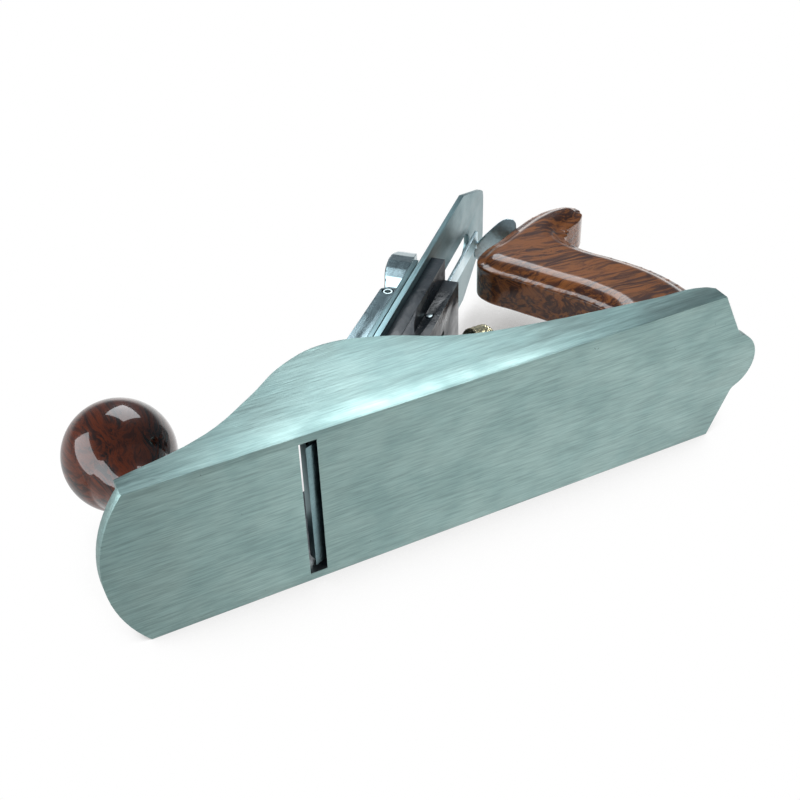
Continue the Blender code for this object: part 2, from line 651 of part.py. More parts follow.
def make_frog_adjuster():
    """Heights on the screw's axis run backwards from the plane x = 0."""
    clip_front = -FROG_BACK_X + GAP
    neck_start = clip_front - GAP
    neck_end = clip_front + CLIP_THICKNESS + GAP
    head_end = neck_end + 4 * MM
    screw = turned("adjust_turned", [
        (0, head_end), (ADJUST_HEAD - 0.8 * MM, head_end), (ADJUST_HEAD, head_end - 0.8 * MM),
        (ADJUST_HEAD, neck_end), (ADJUST_NECK, neck_end), (ADJUST_NECK, neck_start),
        (ADJUST_RADIUS, neck_start), (ADJUST_RADIUS, -ADJUST_REACH + 0.8 * MM),
        (ADJUST_RADIUS - 0.8 * MM, -ADJUST_REACH), (0, -ADJUST_REACH)],
        (0, 0, ADJUST_Z), (-1, 0, 0), steps=24)
    groove = block("adjust_groove", (-head_end - CUT, -0.6 * MM, ADJUST_Z - ADJUST_HEAD - CUT),
                   (-head_end + 1.4 * MM, 0.6 * MM, ADJUST_Z + ADJUST_HEAD + CUT))
    cut(screw, groove)
    piece(screw, "frog_adjust_screw", BRIGHT_STEEL)

    low, high = -clip_front - CLIP_THICKNESS, -clip_front
    fork = ADJUST_NECK + GAP
    half = CLIP_WIDTH / 2
    foot_z = FLOOR + 2.5 * MM
    outline = [(-half, foot_z), (-fork, foot_z)]
    outline += [(-y, z) for y, z in arc((0, ADJUST_Z), fork, 0, pi, 8)]
    outline += [(fork, foot_z), (half, foot_z)]
    outline += arc((0, CLIP_SCREW_Z - 1 * MM), half, 0, pi, 10)
    clip = plate("clip_plate", outline, -CLIP_THICKNESS / 2, CLIP_THICKNESS / 2, upright=True,
                 holes=[circle((0, CLIP_SCREW_Z), CLIP_SCREW_RADIUS + PIN_GAP, 20)])
    clip.rotation_euler.rotate_axis("Y", pi / 2)
    clip.location = ((low + high) / 2, 0, 0)
    piece(clip, "frog_clip", BRIGHT_STEEL)
    slotted_screw("frog_clip_screw", CLIP_SCREW_RADIUS, CLIP_SCREW_HEAD,
                  -FROG_BACK_X - CLIP_SCREW_REACH, -low + GAP,
                  -low + GAP + 2 * MM, (0, 0, CLIP_SCREW_Z), (-1, 0, 0), BRIGHT_STEEL, driver=0.8 * MM)


# ================================================================ depth adjuster
def make_depth_adjuster():
    stud = rod("stud", STUD_RADIUS, (STUD_BOSS_X + STUD_REACH, 0, STUD_Z), (STUD_END_X, 0, STUD_Z),
               sides=24)
    piece(stud, "depth_stud", BRIGHT_STEEL)

    groove_front = WHEEL_FLANGE
    rim_front = WHEEL_FLANGE + WHEEL_GROOVE
    back = rim_front + WHEEL_RIM
    bore = STUD_RADIUS + PIN_GAP
    wheel = turned("wheel_turned", [
        (bore, back), (WHEEL_NECK_RADIUS, back), (WHEEL_NECK_RADIUS + 1.5 * MM, back - 1.2 * MM),
        (WHEEL_RADIUS - 2 * MM, back - 1.2 * MM), (WHEEL_RADIUS - 1 * MM, back),
        (WHEEL_RADIUS, back - 1 * MM), (WHEEL_RADIUS, rim_front + 1 * MM),
        (WHEEL_RADIUS - 1 * MM, rim_front), (WHEEL_NECK_RADIUS, rim_front),
        (WHEEL_NECK_RADIUS, groove_front), (WHEEL_FLANGE_RADIUS, groove_front),
        (WHEEL_FLANGE_RADIUS, 0.4 * MM), (WHEEL_FLANGE_RADIUS - 0.4 * MM, 0), (bore, 0)],
        (WHEEL_FRONT_X, 0, STUD_Z), (-1, 0, 0), steps=40)
    piece(wheel, "depth_wheel", BRASS)
    make_yoke()


def groove_middle_x():
    return WHEEL_FRONT_X - WHEEL_FLANGE - WHEEL_GROOVE / 2


def make_yoke():
    """A finger up to the chipbreaker and a fork down to the wheel's groove."""
    half = YOKE_WIDTH / 2
    pin = bed_point(YOKE_ALONG, YOKE_BEHIND)
    hub = rod("yoke_hub", YOKE_HUB_RADIUS, pin - Vector((0, half, 0)), pin + Vector((0, half, 0)), sides=20)
    tip = YOKE_TIP_WIDTH / 2
    finger = plate("yoke_finger", [
        bed_xz(YOKE_ALONG + tip, YOKE_BEHIND), bed_xz(YOKE_ALONG - 1.5 * tip, YOKE_BEHIND),
        bed_xz(YOKE_TIP_ALONG - tip, -YOKE_TIP_HEIGHT + 1 * MM),
        bed_xz(YOKE_TIP_ALONG - tip / 2, -YOKE_TIP_HEIGHT),
        bed_xz(YOKE_TIP_ALONG + tip / 2, -YOKE_TIP_HEIGHT),
        bed_xz(YOKE_TIP_ALONG + tip, -YOKE_TIP_HEIGHT + 1 * MM)],
        -half + SINK / 2, half - SINK / 2, upright=True)
    gap = WHEEL_NECK_RADIUS + GAP
    outer = gap + YOKE_FORK_CHEEK
    arch_z = STUD_Z + YOKE_FORK_DROP
    bar_top = arch_z + outer
    back, front = groove_middle_x() - YOKE_FORK / 2, groove_middle_x() + YOKE_FORK / 2
    arm = plate("yoke_arm", [
        (pin.x + 1.6 * MM, pin.z - 0.9 * MM), (pin.x - 1.9 * MM, pin.z + 0.9 * MM),
        (back, bar_top + 6 * MM), (back, bar_top - 2 * MM), (front, bar_top - 2 * MM),
        (front, bar_top + 4 * MM)],
        -half + SINK / 2, half - SINK / 2, upright=True)
    leg_foot = STUD_Z - YOKE_FORK_FOOT
    fork_outline = [(-outer, leg_foot), (-gap, leg_foot)]
    fork_outline += [(-y, z) for y, z in arc((0, arch_z), gap, 0, pi, 10)]
    fork_outline += [(gap, leg_foot), (outer, leg_foot)]
    fork_outline += arc((0, arch_z), outer, 0, pi, 12)
    fork = plate("yoke_fork", fork_outline, -YOKE_FORK / 2, YOKE_FORK / 2, upright=True)
    fork.rotation_euler.rotate_axis("Y", pi / 2)
    fork.location = (groove_middle_x(), 0, 0)
    join(hub, finger, arm, fork)
    cut(hub, rod("yoke_bore", YOKE_PIN_RADIUS + PIN_GAP, pin - Vector((0, half + CUT, 0)),
                 pin + Vector((0, half + CUT, 0)), sides=20))
    piece(hub, "yoke", BRIGHT_STEEL)
    reach = Vector((0, FROG_SPINE_WIDTH / 2 + 0.3 * MM, 0))
    piece(rod("pin", YOKE_PIN_RADIUS, pin - reach, pin + reach, sides=20), "yoke_pin", BRIGHT_STEEL)


# ================================================================ lateral adjuster
def make_lateral_adjuster():
    low = -LEVER_BEHIND - LEVER_THICKNESS
    high = -LEVER_BEHIND
    half, neck = LEVER_WIDTH / 2, LEVER_NECK_WIDTH / 2
    outline = arc((-ROLLER_ALONG, 0), half, -pi / 2, pi / 2, 10)
    outline += [(-LEVER_PIVOT, half), (-LEVER_PIVOT - 9 * MM, neck), (-LEVER_TOP, neck)]
    outline += [(-LEVER_TOP, -neck), (-LEVER_PIVOT - 9 * MM, -neck), (-LEVER_PIVOT, -half)]
    lever = plate("lever_arm", outline, low, high, parent=BED)
    join(lever, thumb_tab())
    for along in (LEVER_PIVOT, ROLLER_ALONG):
        cut(lever, rod("lever_hole", RIVET_RADIUS + PIN_GAP, (-along, 0, low - CUT),
                       (-along, 0, high + CUT), parent=BED, sides=20))
    set_origin(lever, (-LEVER_PIVOT, 0, 0))
    piece(lever, "lateral_lever", CHROME)

    head_low = high + GAP
    slotless_rivet("lateral_lever_rivet", LEVER_PIVOT, -FROG_SPINE + 2.6 * MM,
                   head_low, head_low + RIVET_HEAD_THICKNESS)
    roller = turned("roller_turned", [
        (RIVET_RADIUS + PIN_GAP, ROLLER_RISE), (ROLLER_RADIUS - 0.4 * MM, ROLLER_RISE),
        (ROLLER_RADIUS, ROLLER_RISE - 0.4 * MM), (ROLLER_RADIUS, high + GAP),
        (RIVET_RADIUS + PIN_GAP, high + GAP)], (-ROLLER_ALONG, 0, 0), (0, 0, 1), BED, steps=28)
    piece(roller, "lateral_roller", BRIGHT_STEEL)
    slotless_rivet("roller_rivet", ROLLER_ALONG, ROLLER_RISE - 0.1 * MM, low - GAP,
                   low - GAP - RIVET_HEAD_THICKNESS)


def slotless_rivet(name, along, foot, seat, top):
    """A rivet on the bed's normal, with its head between seat and top."""
    sign = 1 if top > seat else -1
    profile = [(0, top * sign), (RIVET_HEAD - 0.3 * MM, top * sign), (RIVET_HEAD, top * sign - 0.3 * MM),
               (RIVET_HEAD, seat * sign), (RIVET_RADIUS, seat * sign), (RIVET_RADIUS, foot * sign),
               (0, foot * sign)]
    rivet = turned(name + "_turned", profile, (-along, 0, 0), (0, 0, sign), BED, steps=20)
    piece(rivet, name, BRIGHT_STEEL)


def thumb_tab():
    """An oval of sheet across the arm's end, curled up and down at its ends."""
    columns, rows = 14, 4
    bm = bmesh.new()
    grid = []
    for i in range(columns + 1):
        along = 2 * i / columns - 1
        half_width = TAB_WIDE * sqrt(1 - 0.96 * along ** 4)
        row = []
        for j in range(rows + 1):
            across = (2 * j / rows - 1) * half_width
            reach = TAB_LONG * along
            back = TAB_BEHIND + reach * sin(TAB_TURN) + across * cos(TAB_TURN)
            side = reach * cos(TAB_TURN) - across * sin(TAB_TURN)
            rise = TAB_CURL * along * abs(along) - 0.25 * across * along
            row.append(bm.verts.new((-LEVER_TOP - rise, side, -LEVER_BEHIND - LEVER_THICKNESS / 2 - back)))
        grid.append(row)
    for first, second in zip(grid, grid[1:]):
        for j in range(rows):
            bm.faces.new((first[j], first[j + 1], second[j + 1], second[j]))
    mesh = bpy.data.meshes.new("thumb_tab")
    bm.to_mesh(mesh)
    bm.free()
    tab = mesh_object("thumb_tab", mesh, BED)
    shell = tab.modifiers.new("sheet", "SOLIDIFY")
    shell.thickness = LEVER_THICKNESS
    shell.offset = 0
    return tab


# ================================================================ iron and chipbreaker
def make_iron():
    half = IRON_WIDTH / 2
    edge, top = -IRON_EDGE, -IRON_EDGE - IRON_LENGTH
    clip_x, clip_y = top + IRON_CLIP_LENGTH, half - IRON_CLIP_WIDTH
    outline = [(edge, -half), (edge, half), (clip_x, half)]
    outline += [(top + 4 * MM, clip_y + 0.8 * MM), (top + 1 * MM, clip_y - 1.2 * MM), (top, clip_y - 4 * MM)]
    outline += [(x, -y) for x, y in reversed(outline[2:])]
    iron = plate("iron_plate", outline, 0.0, IRON_THICKNESS, parent=BED)
    long_slot = plate("iron_slot", slot(-SLOT_TOP + SLOT_WIDTH / 2, -SLOT_FOOT, SLOT_WIDTH / 2),
                      -CUT, IRON_THICKNESS + CUT, parent=BED)
    eye = rod("iron_eye", SLOT_EYE_RADIUS, (-SLOT_FOOT, 0, -CUT), (-SLOT_FOOT, 0, IRON_THICKNESS + CUT),
              parent=BED, sides=32)
    depth = IRON_THICKNESS / sin(IRON_BEVEL) + 6 * MM
    bevel = block("iron_bevel", (-depth, -half - CUT, -6 * MM), (depth, half + CUT, 0), parent=BED)
    bevel.rotation_euler = (0, -IRON_BEVEL, 0)
    turn = Matrix.Rotation(-IRON_BEVEL, 3, "Y")
    bevel.location = Vector((edge, 0, IRON_THICKNESS)) + turn @ Vector((0, 0, -3 * MM))
    cut(iron, long_slot, eye, bevel)
    piece(iron, "iron", BRIGHT_STEEL)


def breaker_profile(low):
    """The chipbreaker's side view: flat, then a hump down to the iron."""
    edge = IRON_EDGE + BREAKER_SETBACK
    flat = edge + BREAKER_HUMP_LENGTH
    points = []
    steps = 12
    for i in range(steps + 1):
        t = i / steps
        rise = BREAKER_HUMP * sin(pi * t ** 0.7) if t < 1 else 0.0
        points.append((-(edge + t * (flat - edge)), low + rise))
    return points


def make_chipbreaker():
    half = IRON_WIDTH / 2
    low = IRON_THICKNESS + GAP
    under = breaker_profile(low)
    over = [(x, z + BREAKER_THICKNESS) for x, z in under]
    over[0] = (under[0][0] - 0.5 * MM, low + 0.7 * MM)
    profile = under + [(-BREAKER_TOP, low), (-BREAKER_TOP, low + BREAKER_THICKNESS)] + over[::-1]
    breaker = plate("breaker_plate", profile, -half, half, upright=True, parent=BED)
    high = low + BREAKER_THICKNESS
    key = plate("breaker_key", slot(-CAP_SCREW_ALONG - 7 * MM, -CAP_SCREW_ALONG + 6 * MM,
                                    BREAKER_KEY_WIDTH / 2), low - CUT, high + CUT, parent=BED)
    window = block("breaker_window", (-YOKE_TIP_ALONG - 2.6 * MM, -YOKE_WIDTH / 2 - 1.3 * MM, low - CUT),
                   (-YOKE_TIP_ALONG + 2.6 * MM, YOKE_WIDTH / 2 + 1.3 * MM, high + CUT), parent=BED)
    hole = rod("breaker_hole", BREAKER_SCREW_RADIUS + PIN_GAP, (-BREAKER_SCREW_ALONG, 0, low - CUT),
               (-BREAKER_SCREW_ALONG, 0, high + CUT), parent=BED, sides=24)
    cut(breaker, key, window, hole)
    for sign in (1, -1):
        corner = block("breaker_corner", (-6 * MM, -4 * MM, -CUT), (6 * MM, 4 * MM, 3 * CUT), parent=BED)
        corner.location = (-BREAKER_TOP, sign * half, low)
        corner.rotation_euler = (0, 0, -sign * pi / 4)
        cut(breaker, corner)
    piece(breaker, "chipbreaker", BRIGHT_STEEL)
    head = -GAP
    slotted_screw("chipbreaker_screw", BREAKER_SCREW_RADIUS, BREAKER_SCREW_HEAD, -high,
                  -head, -head + BREAKER_SCREW_HEAD_THICKNESS, (-BREAKER_SCREW_ALONG, 0, 0),
                  (0, 0, -1), BRIGHT_STEEL, parent=BED, driver=1.4 * MM)


# ================================================================ lever cap
def cap_half_width(along):
    share = (along - CAP_FOOT) / (CAP_TOP - CAP_FOOT)
    return CAP_HALF_WIDTH_FOOT + share * (CAP_HALF_WIDTH_TOP - CAP_HALF_WIDTH_FOOT)


def cap_underside():
    return IRON_THICKNESS + GAP + BREAKER_THICKNESS + GAP


def make_lever_cap():
    under = cap_underside()
    lip = under + BREAKER_HUMP
    side_view = [(-CAP_FOOT, lip)]
    for i in range(CAP_SLOPE_STEPS + 1):
        share = i / CAP_SLOPE_STEPS
        rise = sin(share * pi / 2) ** 1.3
        side_view.append((-CAP_FOOT - share * CAP_SLOPE_LENGTH,
                          lip + CAP_LIP + rise * (CAP_HEIGHT - lip - CAP_LIP)))
    side_view += [(-CAP_TOP + 2.5 * MM, CAP_HEIGHT), (-CAP_TOP, CAP_HEIGHT - 2.5 * MM),
                  (-CAP_TOP, under + 0.9 * MM), (-CAP_TOP + 0.9 * MM, under),
                  (-CAP_FOOT - 22 * MM, under), (-CAP_FOOT - 17 * MM, lip)]
    foot, top = CAP_HALF_WIDTH_FOOT, CAP_HALF_WIDTH_TOP
    cap = plate("cap_side_view", side_view, -foot, foot, upright=True, parent=BED)
    plan = plate("cap_plan", [
        (-CAP_FOOT + CUT, -foot), (-CAP_FOOT + CUT, foot), (-CAP_TOP + 4 * MM, top),
        (-CAP_TOP - CUT, top - 1 * MM), (-CAP_TOP - CUT, -top + 1 * MM), (-CAP_TOP + 4 * MM, -top)],
        -CUT, CAP_HEIGHT + CUT, parent=BED)
    boolean(cap, plan, "INTERSECT")
    web = CAP_HEIGHT - CAP_WEB
    hollow = plate("cap_hollow", [
        (-CAP_FOOT - 26 * MM, -CAP_HALF_WIDTH_FOOT + CAP_WALL + 2 * MM),
        (-CAP_FOOT - 26 * MM, CAP_HALF_WIDTH_FOOT - CAP_WALL - 2 * MM),
        (-CAP_TOP - CUT, top - CAP_WALL - 1.2 * MM), (-CAP_TOP - CUT, -top + CAP_WALL + 1.2 * MM)],
        under - CUT, web, parent=BED)
    opening = block("cam_opening", (-CAP_TOP - CUT, -CAM_OPENING_HALF_WIDTH, under - CUT),
                    (-CAM_OPENING_FOOT, CAM_OPENING_HALF_WIDTH, CAP_HEIGHT + CUT), parent=BED)
    key = plate("cap_key", slot(-CAP_SCREW_ALONG, -CAP_SCREW_ALONG + CAP_TRAVEL,
                                CAP_SCREW_RADIUS + PIN_GAP + 0.1 * MM),
                web - CUT, CAP_HEIGHT + CUT, parent=BED)
    eye = rod("cap_eye", KEY_EYE_RADIUS, (-CAP_SCREW_ALONG + CAP_TRAVEL, 0, web - CUT),
              (-CAP_SCREW_ALONG + CAP_TRAVEL, 0, CAP_HEIGHT + CUT), parent=BED)
    reach = CAP_HALF_WIDTH_FOOT + CUT
    pin_hole = rod("cam_pin_hole", CAM_PIN_RADIUS + PIN_GAP, (-CAM_PIN_ALONG, -reach, CAM_PIN_HEIGHT),
                   (-CAM_PIN_ALONG, reach, CAM_PIN_HEIGHT), parent=BED, sides=24)
    rivet_hole = rod("spring_rivet_hole", SPRING_RIVET_RADIUS + PIN_GAP, (-SPRING_RIVET_ALONG, 0, web - CUT),
                     (-SPRING_RIVET_ALONG, 0, CAP_HEIGHT + CUT), parent=BED, sides=20)
    cut(cap, hollow, opening, key, eye, pin_hole, rivet_hole)
    piece(cap, "lever_cap", CHROME)
    slotted_screw("lever_cap_screw", CAP_SCREW_RADIUS, CAP_SCREW_HEAD, -FROG_SPINE + 1 * MM,
                  CAP_HEIGHT + GAP, CAP_HEIGHT + GAP + CAP_SCREW_HEAD_HEIGHT, (-CAP_SCREW_ALONG, 0, 0),
                  (0, 0, 1), BRIGHT_STEEL, parent=BED, driver=1.2 * MM)
    make_cam_pin()
    make_spring(web)


def make_cam_pin():
    half = cap_half_width(CAM_PIN_ALONG) - 0.4 * MM
    pin = turned("cam_pin_turned", [
        (CAM_PIN_BORE, half), (CAM_PIN_RADIUS - 0.3 * MM, half), (CAM_PIN_RADIUS, half - 0.3 * MM),
        (CAM_PIN_RADIUS, -half + 0.3 * MM), (CAM_PIN_RADIUS - 0.3 * MM, -half), (CAM_PIN_BORE, -half)],
        (-CAM_PIN_ALONG, 0, CAM_PIN_HEIGHT), (0, 1, 0), BED, steps=24)
    piece(pin, "cam_pin", BRIGHT_STEEL)


def make_spring(web):
    """A flat spring riveted under the cap's web, bowed down to the cam."""
    top = web - GAP
    rest = CAM_PIN_HEIGHT - CAM_RADIUS - CAM_ECCENTRIC - GAP
    over = [(-SPRING_RIVET_ALONG + 7 * MM, top), (-SPRING_RIVET_ALONG - 4 * MM, top),
            (-SPRING_RIVET_ALONG - 11 * MM, (top + rest) / 2 - 0.3 * MM),
            (-CAM_PIN_ALONG + 5 * MM, rest + 0.1 * MM), (-CAM_PIN_ALONG + 3 * MM, rest),
            (-CAP_TOP + 1 * MM, rest)]
    under = [(x, z - SPRING_THICKNESS) for x, z in over]
    spring = plate("spring_strip", over + under[::-1], -SPRING_WIDTH / 2, SPRING_WIDTH / 2,
                   upright=True, parent=BED)
    low = top - SPRING_THICKNESS
    cut(spring, rod("spring_hole", SPRING_RIVET_RADIUS + PIN_GAP, (-SPRING_RIVET_ALONG, 0, low - CUT),
                    (-SPRING_RIVET_ALONG, 0, top + CUT), parent=BED, sides=20))
    piece(spring, "lever_cap_spring", BRIGHT_STEEL)
    profile = [(0, CAP_HEIGHT - 0.2 * MM), (SPRING_RIVET_RADIUS, CAP_HEIGHT - 0.2 * MM),
               (SPRING_RIVET_RADIUS, low - GAP), (2.4 * MM, low - GAP), (1.8 * MM, low - GAP - 0.9 * MM),
               (0, low - GAP - 0.9 * MM)]
    rivet = turned("spring_rivet_turned", profile, (-SPRING_RIVET_ALONG, 0, 0), (0, 0, 1), BED, steps=20)
    piece(rivet, "lever_cap_spring_rivet", BRIGHT_STEEL)


def make_cam_lever():
    """A barrel with an eccentric cam and a dished thumb paddle."""
    middle = (-CAM_PIN_ALONG, 0, CAM_PIN_HEIGHT)
    side = Vector((0, CAM_HALF_WIDTH, 0))
    centre = Vector(middle) - Vector((0, 0, CAM_ECCENTRIC))
    barrel = rod("cam_barrel", CAM_RADIUS, centre - side, centre + side, parent=BED, sides=28)
    root = CAM_PIN_HEIGHT + CAM_RADIUS - 1.1 * MM
    side_view = [
        (-CAM_PIN_ALONG - 0.5 * MM, CAM_PIN_HEIGHT - 0.9 * MM, "corner"),
        (-CAM_PIN_ALONG - 0.5 * MM, root, "corner"),
        (-CAP_TOP - 2.5 * MM, CAP_HEIGHT + 0.6 * MM, "smooth"),
        (-CAP_TOP - 18 * MM, PADDLE_RISE, "smooth"),
        (-CAM_TIP + 9 * MM, PADDLE_RISE + 1.2 * MM, "smooth"),
        (-CAM_TIP, PADDLE_RISE - 2.5 * MM, "corner"),
        (-CAM_TIP + 3 * MM, PADDLE_RISE - 4.5 * MM, "smooth"),
        (-CAP_TOP - 22 * MM, CAM_PIN_HEIGHT - 0.6 * MM, "smooth"),
        (-CAP_TOP - 3 * MM, CAM_PIN_HEIGHT - 1.6 * MM, "smooth")]
    paddle = plate("paddle_side_view", side_view, -PADDLE_HALF_WIDTH - CUT, PADDLE_HALF_WIDTH + CUT,
                   upright=True, parent=BED)
    wide = -CAP_TOP - 1.5 * MM
    reach = -CAM_TIP - wide
    plan = [(-CAM_PIN_ALONG + CUT, CAM_HALF_WIDTH - SINK), (wide, CAM_HALF_WIDTH - SINK),
            (wide - 1 * MM, PADDLE_HALF_WIDTH - 0.6 * MM)]
    for i in range(9):
        turn = pi / 2 * i / 8
        plan.append((wide - 8 * MM + (reach + 8 * MM) * sin(turn),
                     PADDLE_HALF_WIDTH * cos(turn) ** 0.8 if i < 8 else 0.0))
    plan += [(x, -y) for x, y in reversed(plan[:-1])]
    boolean(paddle, plate("paddle_plan", plan, -CUT, PADDLE_RISE + 6 * MM, parent=BED), "INTERSECT")
    hollow = dish("paddle_hollow", (-(CAP_TOP + CAM_TIP) / 2 - 3 * MM, 0, CAM_PIN_HEIGHT - 3 * MM),
                  (0.52 * (CAM_TIP - CAP_TOP), PADDLE_HALF_WIDTH - 2.2 * MM, 9.0 * MM))
    cut(paddle, hollow)
    join(barrel, paddle)
    cut(barrel, rod("cam_bore", CAM_PIN_RADIUS + PIN_GAP, Vector(middle) - 1.3 * side,
                    Vector(middle) + 1.3 * side, parent=BED, sides=24))
    set_origin(barrel, middle)
    piece(barrel, "cam_lever", CHROME)


def dish(name, centre, radii):
    """An ellipsoid cutter."""
    bm = bmesh.new()
    bmesh.ops.create_uvsphere(bm, u_segments=24, v_segments=12, radius=1.0)
    bmesh.ops.scale(bm, vec=radii, verts=bm.verts)
    mesh = bpy.data.meshes.new(name)
    bm.to_mesh(mesh)
    bm.free()
    obj = mesh_object(name, mesh, BED)
    obj.location = centre
    return obj


# ================================================================ knob and tote
def knob_top():
    return KNOB_BALL_Z + sqrt(KNOB_BALL_RADIUS ** 2 - (NUT_RADIUS + 1 * MM) ** 2)


def make_knob():
    base = KNOB_BOSS_TOP + GAP
    top = knob_top()
    bore = NUT_SLEEVE_RADIUS + PIN_GAP
    recess = top - NUT_HEAD
    neck_angle = radians(-52)
    start = acos((NUT_RADIUS + 1 * MM) / KNOB_BALL_RADIUS)
    ball = arc((0, KNOB_BALL_Z), KNOB_BALL_RADIUS, start, neck_angle, 16)
    profile = [(NUT_RADIUS + PIN_GAP, recess), (NUT_RADIUS + PIN_GAP, top)] + ball
    profile += [(KNOB_WAIST_RADIUS + 0.9 * MM, 35 * MM), (KNOB_WAIST_RADIUS, 30 * MM),
                (KNOB_WAIST_RADIUS, 24 * MM), (KNOB_WAIST_RADIUS + 1.2 * MM, 18 * MM),
                (KNOB_BASE_RADIUS - 2 * MM, 13.5 * MM), (KNOB_BASE_RADIUS, 11.5 * MM),
                (KNOB_BASE_RADIUS, base), (bore, base), (bore, recess)]
    knob = turned("knob_turned", profile, (KNOB_X, 0, 0), (0, 0, 1), steps=36)
    piece(knob, "knob", KNOB_WOOD)
    bolt_and_nut("knob", "knob_bolt", Vector((KNOB_X, 0, BOLT_FOOT_Z)), Vector((KNOB_X, 0, recess)))


def bolt_and_nut(prefix, bolt_name, foot, head):
    """A stud from the casting and a slotted brass nut with a long sleeve."""
    axis = (head - foot).normalized()
    seat = (head - foot).length
    stud_end = seat - 4 * MM
    piece(rod(prefix + "_stud", BOLT_RADIUS, foot, foot + axis * stud_end, sides=20), bolt_name, BRIGHT_STEEL)
    top = seat + GAP + NUT_HEAD - 0.4 * MM
    low = seat + GAP
    nut = turned(prefix + "_nut_turned", [
        (0, top), (NUT_RADIUS - 1 * MM, top), (NUT_RADIUS, top - 0.8 * MM), (NUT_RADIUS, low),
        (NUT_SLEEVE_RADIUS, low), (NUT_SLEEVE_RADIUS, low - NUT_SLEEVE_LENGTH),
        (BOLT_RADIUS + PIN_GAP, low - NUT_SLEEVE_LENGTH), (BOLT_RADIUS + PIN_GAP, stud_end + GAP),
        (0, stud_end + GAP)], foot, axis, steps=24)
    groove = block(prefix + "_nut_groove", (-NUT_RADIUS - CUT, -0.7 * MM, -0.6 * MM),
                   (NUT_RADIUS + CUT, 0.7 * MM, CUT))
    turn = axis.to_track_quat("Z", "Y")
    groove.location = foot + turn @ (groove.location + Vector((0, 0, top - 0.6 * MM)))
    groove.rotation_euler = turn.to_euler()
    cut(nut, groove)
    piece(nut, prefix + "_nut", BRASS)


def tote_rod_point(height):
    """The point of the tote's leaning rod at a height."""
    drop = TOTE_ROD_TOP.z - height
    return Vector((TOTE_ROD_TOP.x - drop * tan(TOTE_ROD_LEAN), 0, height))


def tote_outline():
    """Side view: toe of the base, front of the grip, nose, top, horn, back."""
    return [(x * MM, z * MM, kind) for x, z, kind in (
        (-45.0, TOTE_BASE_Z / MM, "corner"), (-45.0, 12.5, "corner"), (-51.0, 15.5, "smooth"),
        (-66.0, 18.0, "smooth"), (-80.5, 25.5, "smooth"), (-86.5, 37.0, "smooth"),
        (-83.5, 50.0, "smooth"), (-75.0, 64.5, "smooth"), (-67.0, 78.0, "smooth"),
        (-60.5, 89.5, "smooth"), (-60.5, 96.5, "smooth"), (-66.5, 102.5, "smooth"),
        (-77.5, 107.5, "smooth"), (-90.0, 113.7, "smooth"), (-101.0, 118.2, "smooth"),
        (-110.8, 119.7, "smooth"), (-118.0, 117.6, "smooth"), (-120.6, 111.5, "smooth"),
        (-116.0, 104.6, "smooth"), (-108.5, 97.2, "smooth"), (-103.0, 90.0, "smooth"),
        (-103.5, 83.0, "smooth"), (-110.5, 73.0, "smooth"), (-117.5, 60.0, "smooth"),
        (-121.0, 48.0, "smooth"), (-122.0, 32.0, "smooth"), (-120.0, 16.0, "smooth"),
        (-116.0, TOTE_BASE_Z / MM, "corner"))]


def make_tote():
    half = TOTE_THICKNESS / 2
    tote = plate("tote_board", tote_outline(), -half, half, upright=True, rounding=TOTE_ROUND)
    recess_end = TOTE_ROD_TOP.z - NUT_HEAD - 1.5 * MM
    foot, top = tote_rod_point(-CUT), tote_rod_point(TOTE_ROD_TOP.z + 20 * MM)
    bore = rod("tote_bore", NUT_SLEEVE_RADIUS + PIN_GAP, foot, top, sides=24)
    counterbore = rod("tote_counterbore", NUT_RADIUS + PIN_GAP, tote_rod_point(recess_end), top, sides=24)
    boss_room = rod("tote_boss_room", TOTE_BOSS_RADIUS + GAP, (tote_rod_point(0).x, 0, 0),
                    (tote_rod_point(0).x, 0, TOTE_BOSS_TOP + GAP), sides=24)
    pip_room = rod("tote_pip_room", TOTE_PIP_RADIUS + GAP, (TOTE_PIP_X, 0, 0),
                   (TOTE_PIP_X, 0, FLOOR + TOTE_PIP_RISE + GAP), sides=16)
    level = block("tote_level", (-0.2, -0.05, -0.05), (0, 0.05, TOTE_BASE_Z))
    cut(tote, bore, counterbore, boss_room, pip_room, level)
    piece(tote, "tote", TOTE_WOOD)
    bolt_and_nut("tote", "tote_rod", tote_rod_point(BOLT_FOOT_Z), tote_rod_point(recess_end))


def main():
    make_body_casting()
    make_frog()
    make_frog_screws()
    make_frog_adjuster()
    make_depth_adjuster()
    make_lateral_adjuster()
    make_iron()
    make_chipbreaker()
    make_lever_cap()
    make_cam_lever()
    make_knob()
    make_tote()


clear_scene()
PARTS = new_collection("hand_plane")
CUTTERS = new_collection("cutters")
BED = new_empty("bed", (BED_X, 0, 0), (0, BED_ANGLE, 0))
main()
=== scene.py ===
"""Bench smoothing plane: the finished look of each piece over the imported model."""
import json
from math import acos, cos, pi, radians, sin, sqrt

import bpy
import numpy as np
from bpy.props import FloatProperty, FloatVectorProperty, IntProperty, PointerProperty
from mathutils import Matrix, Quaternion, Vector

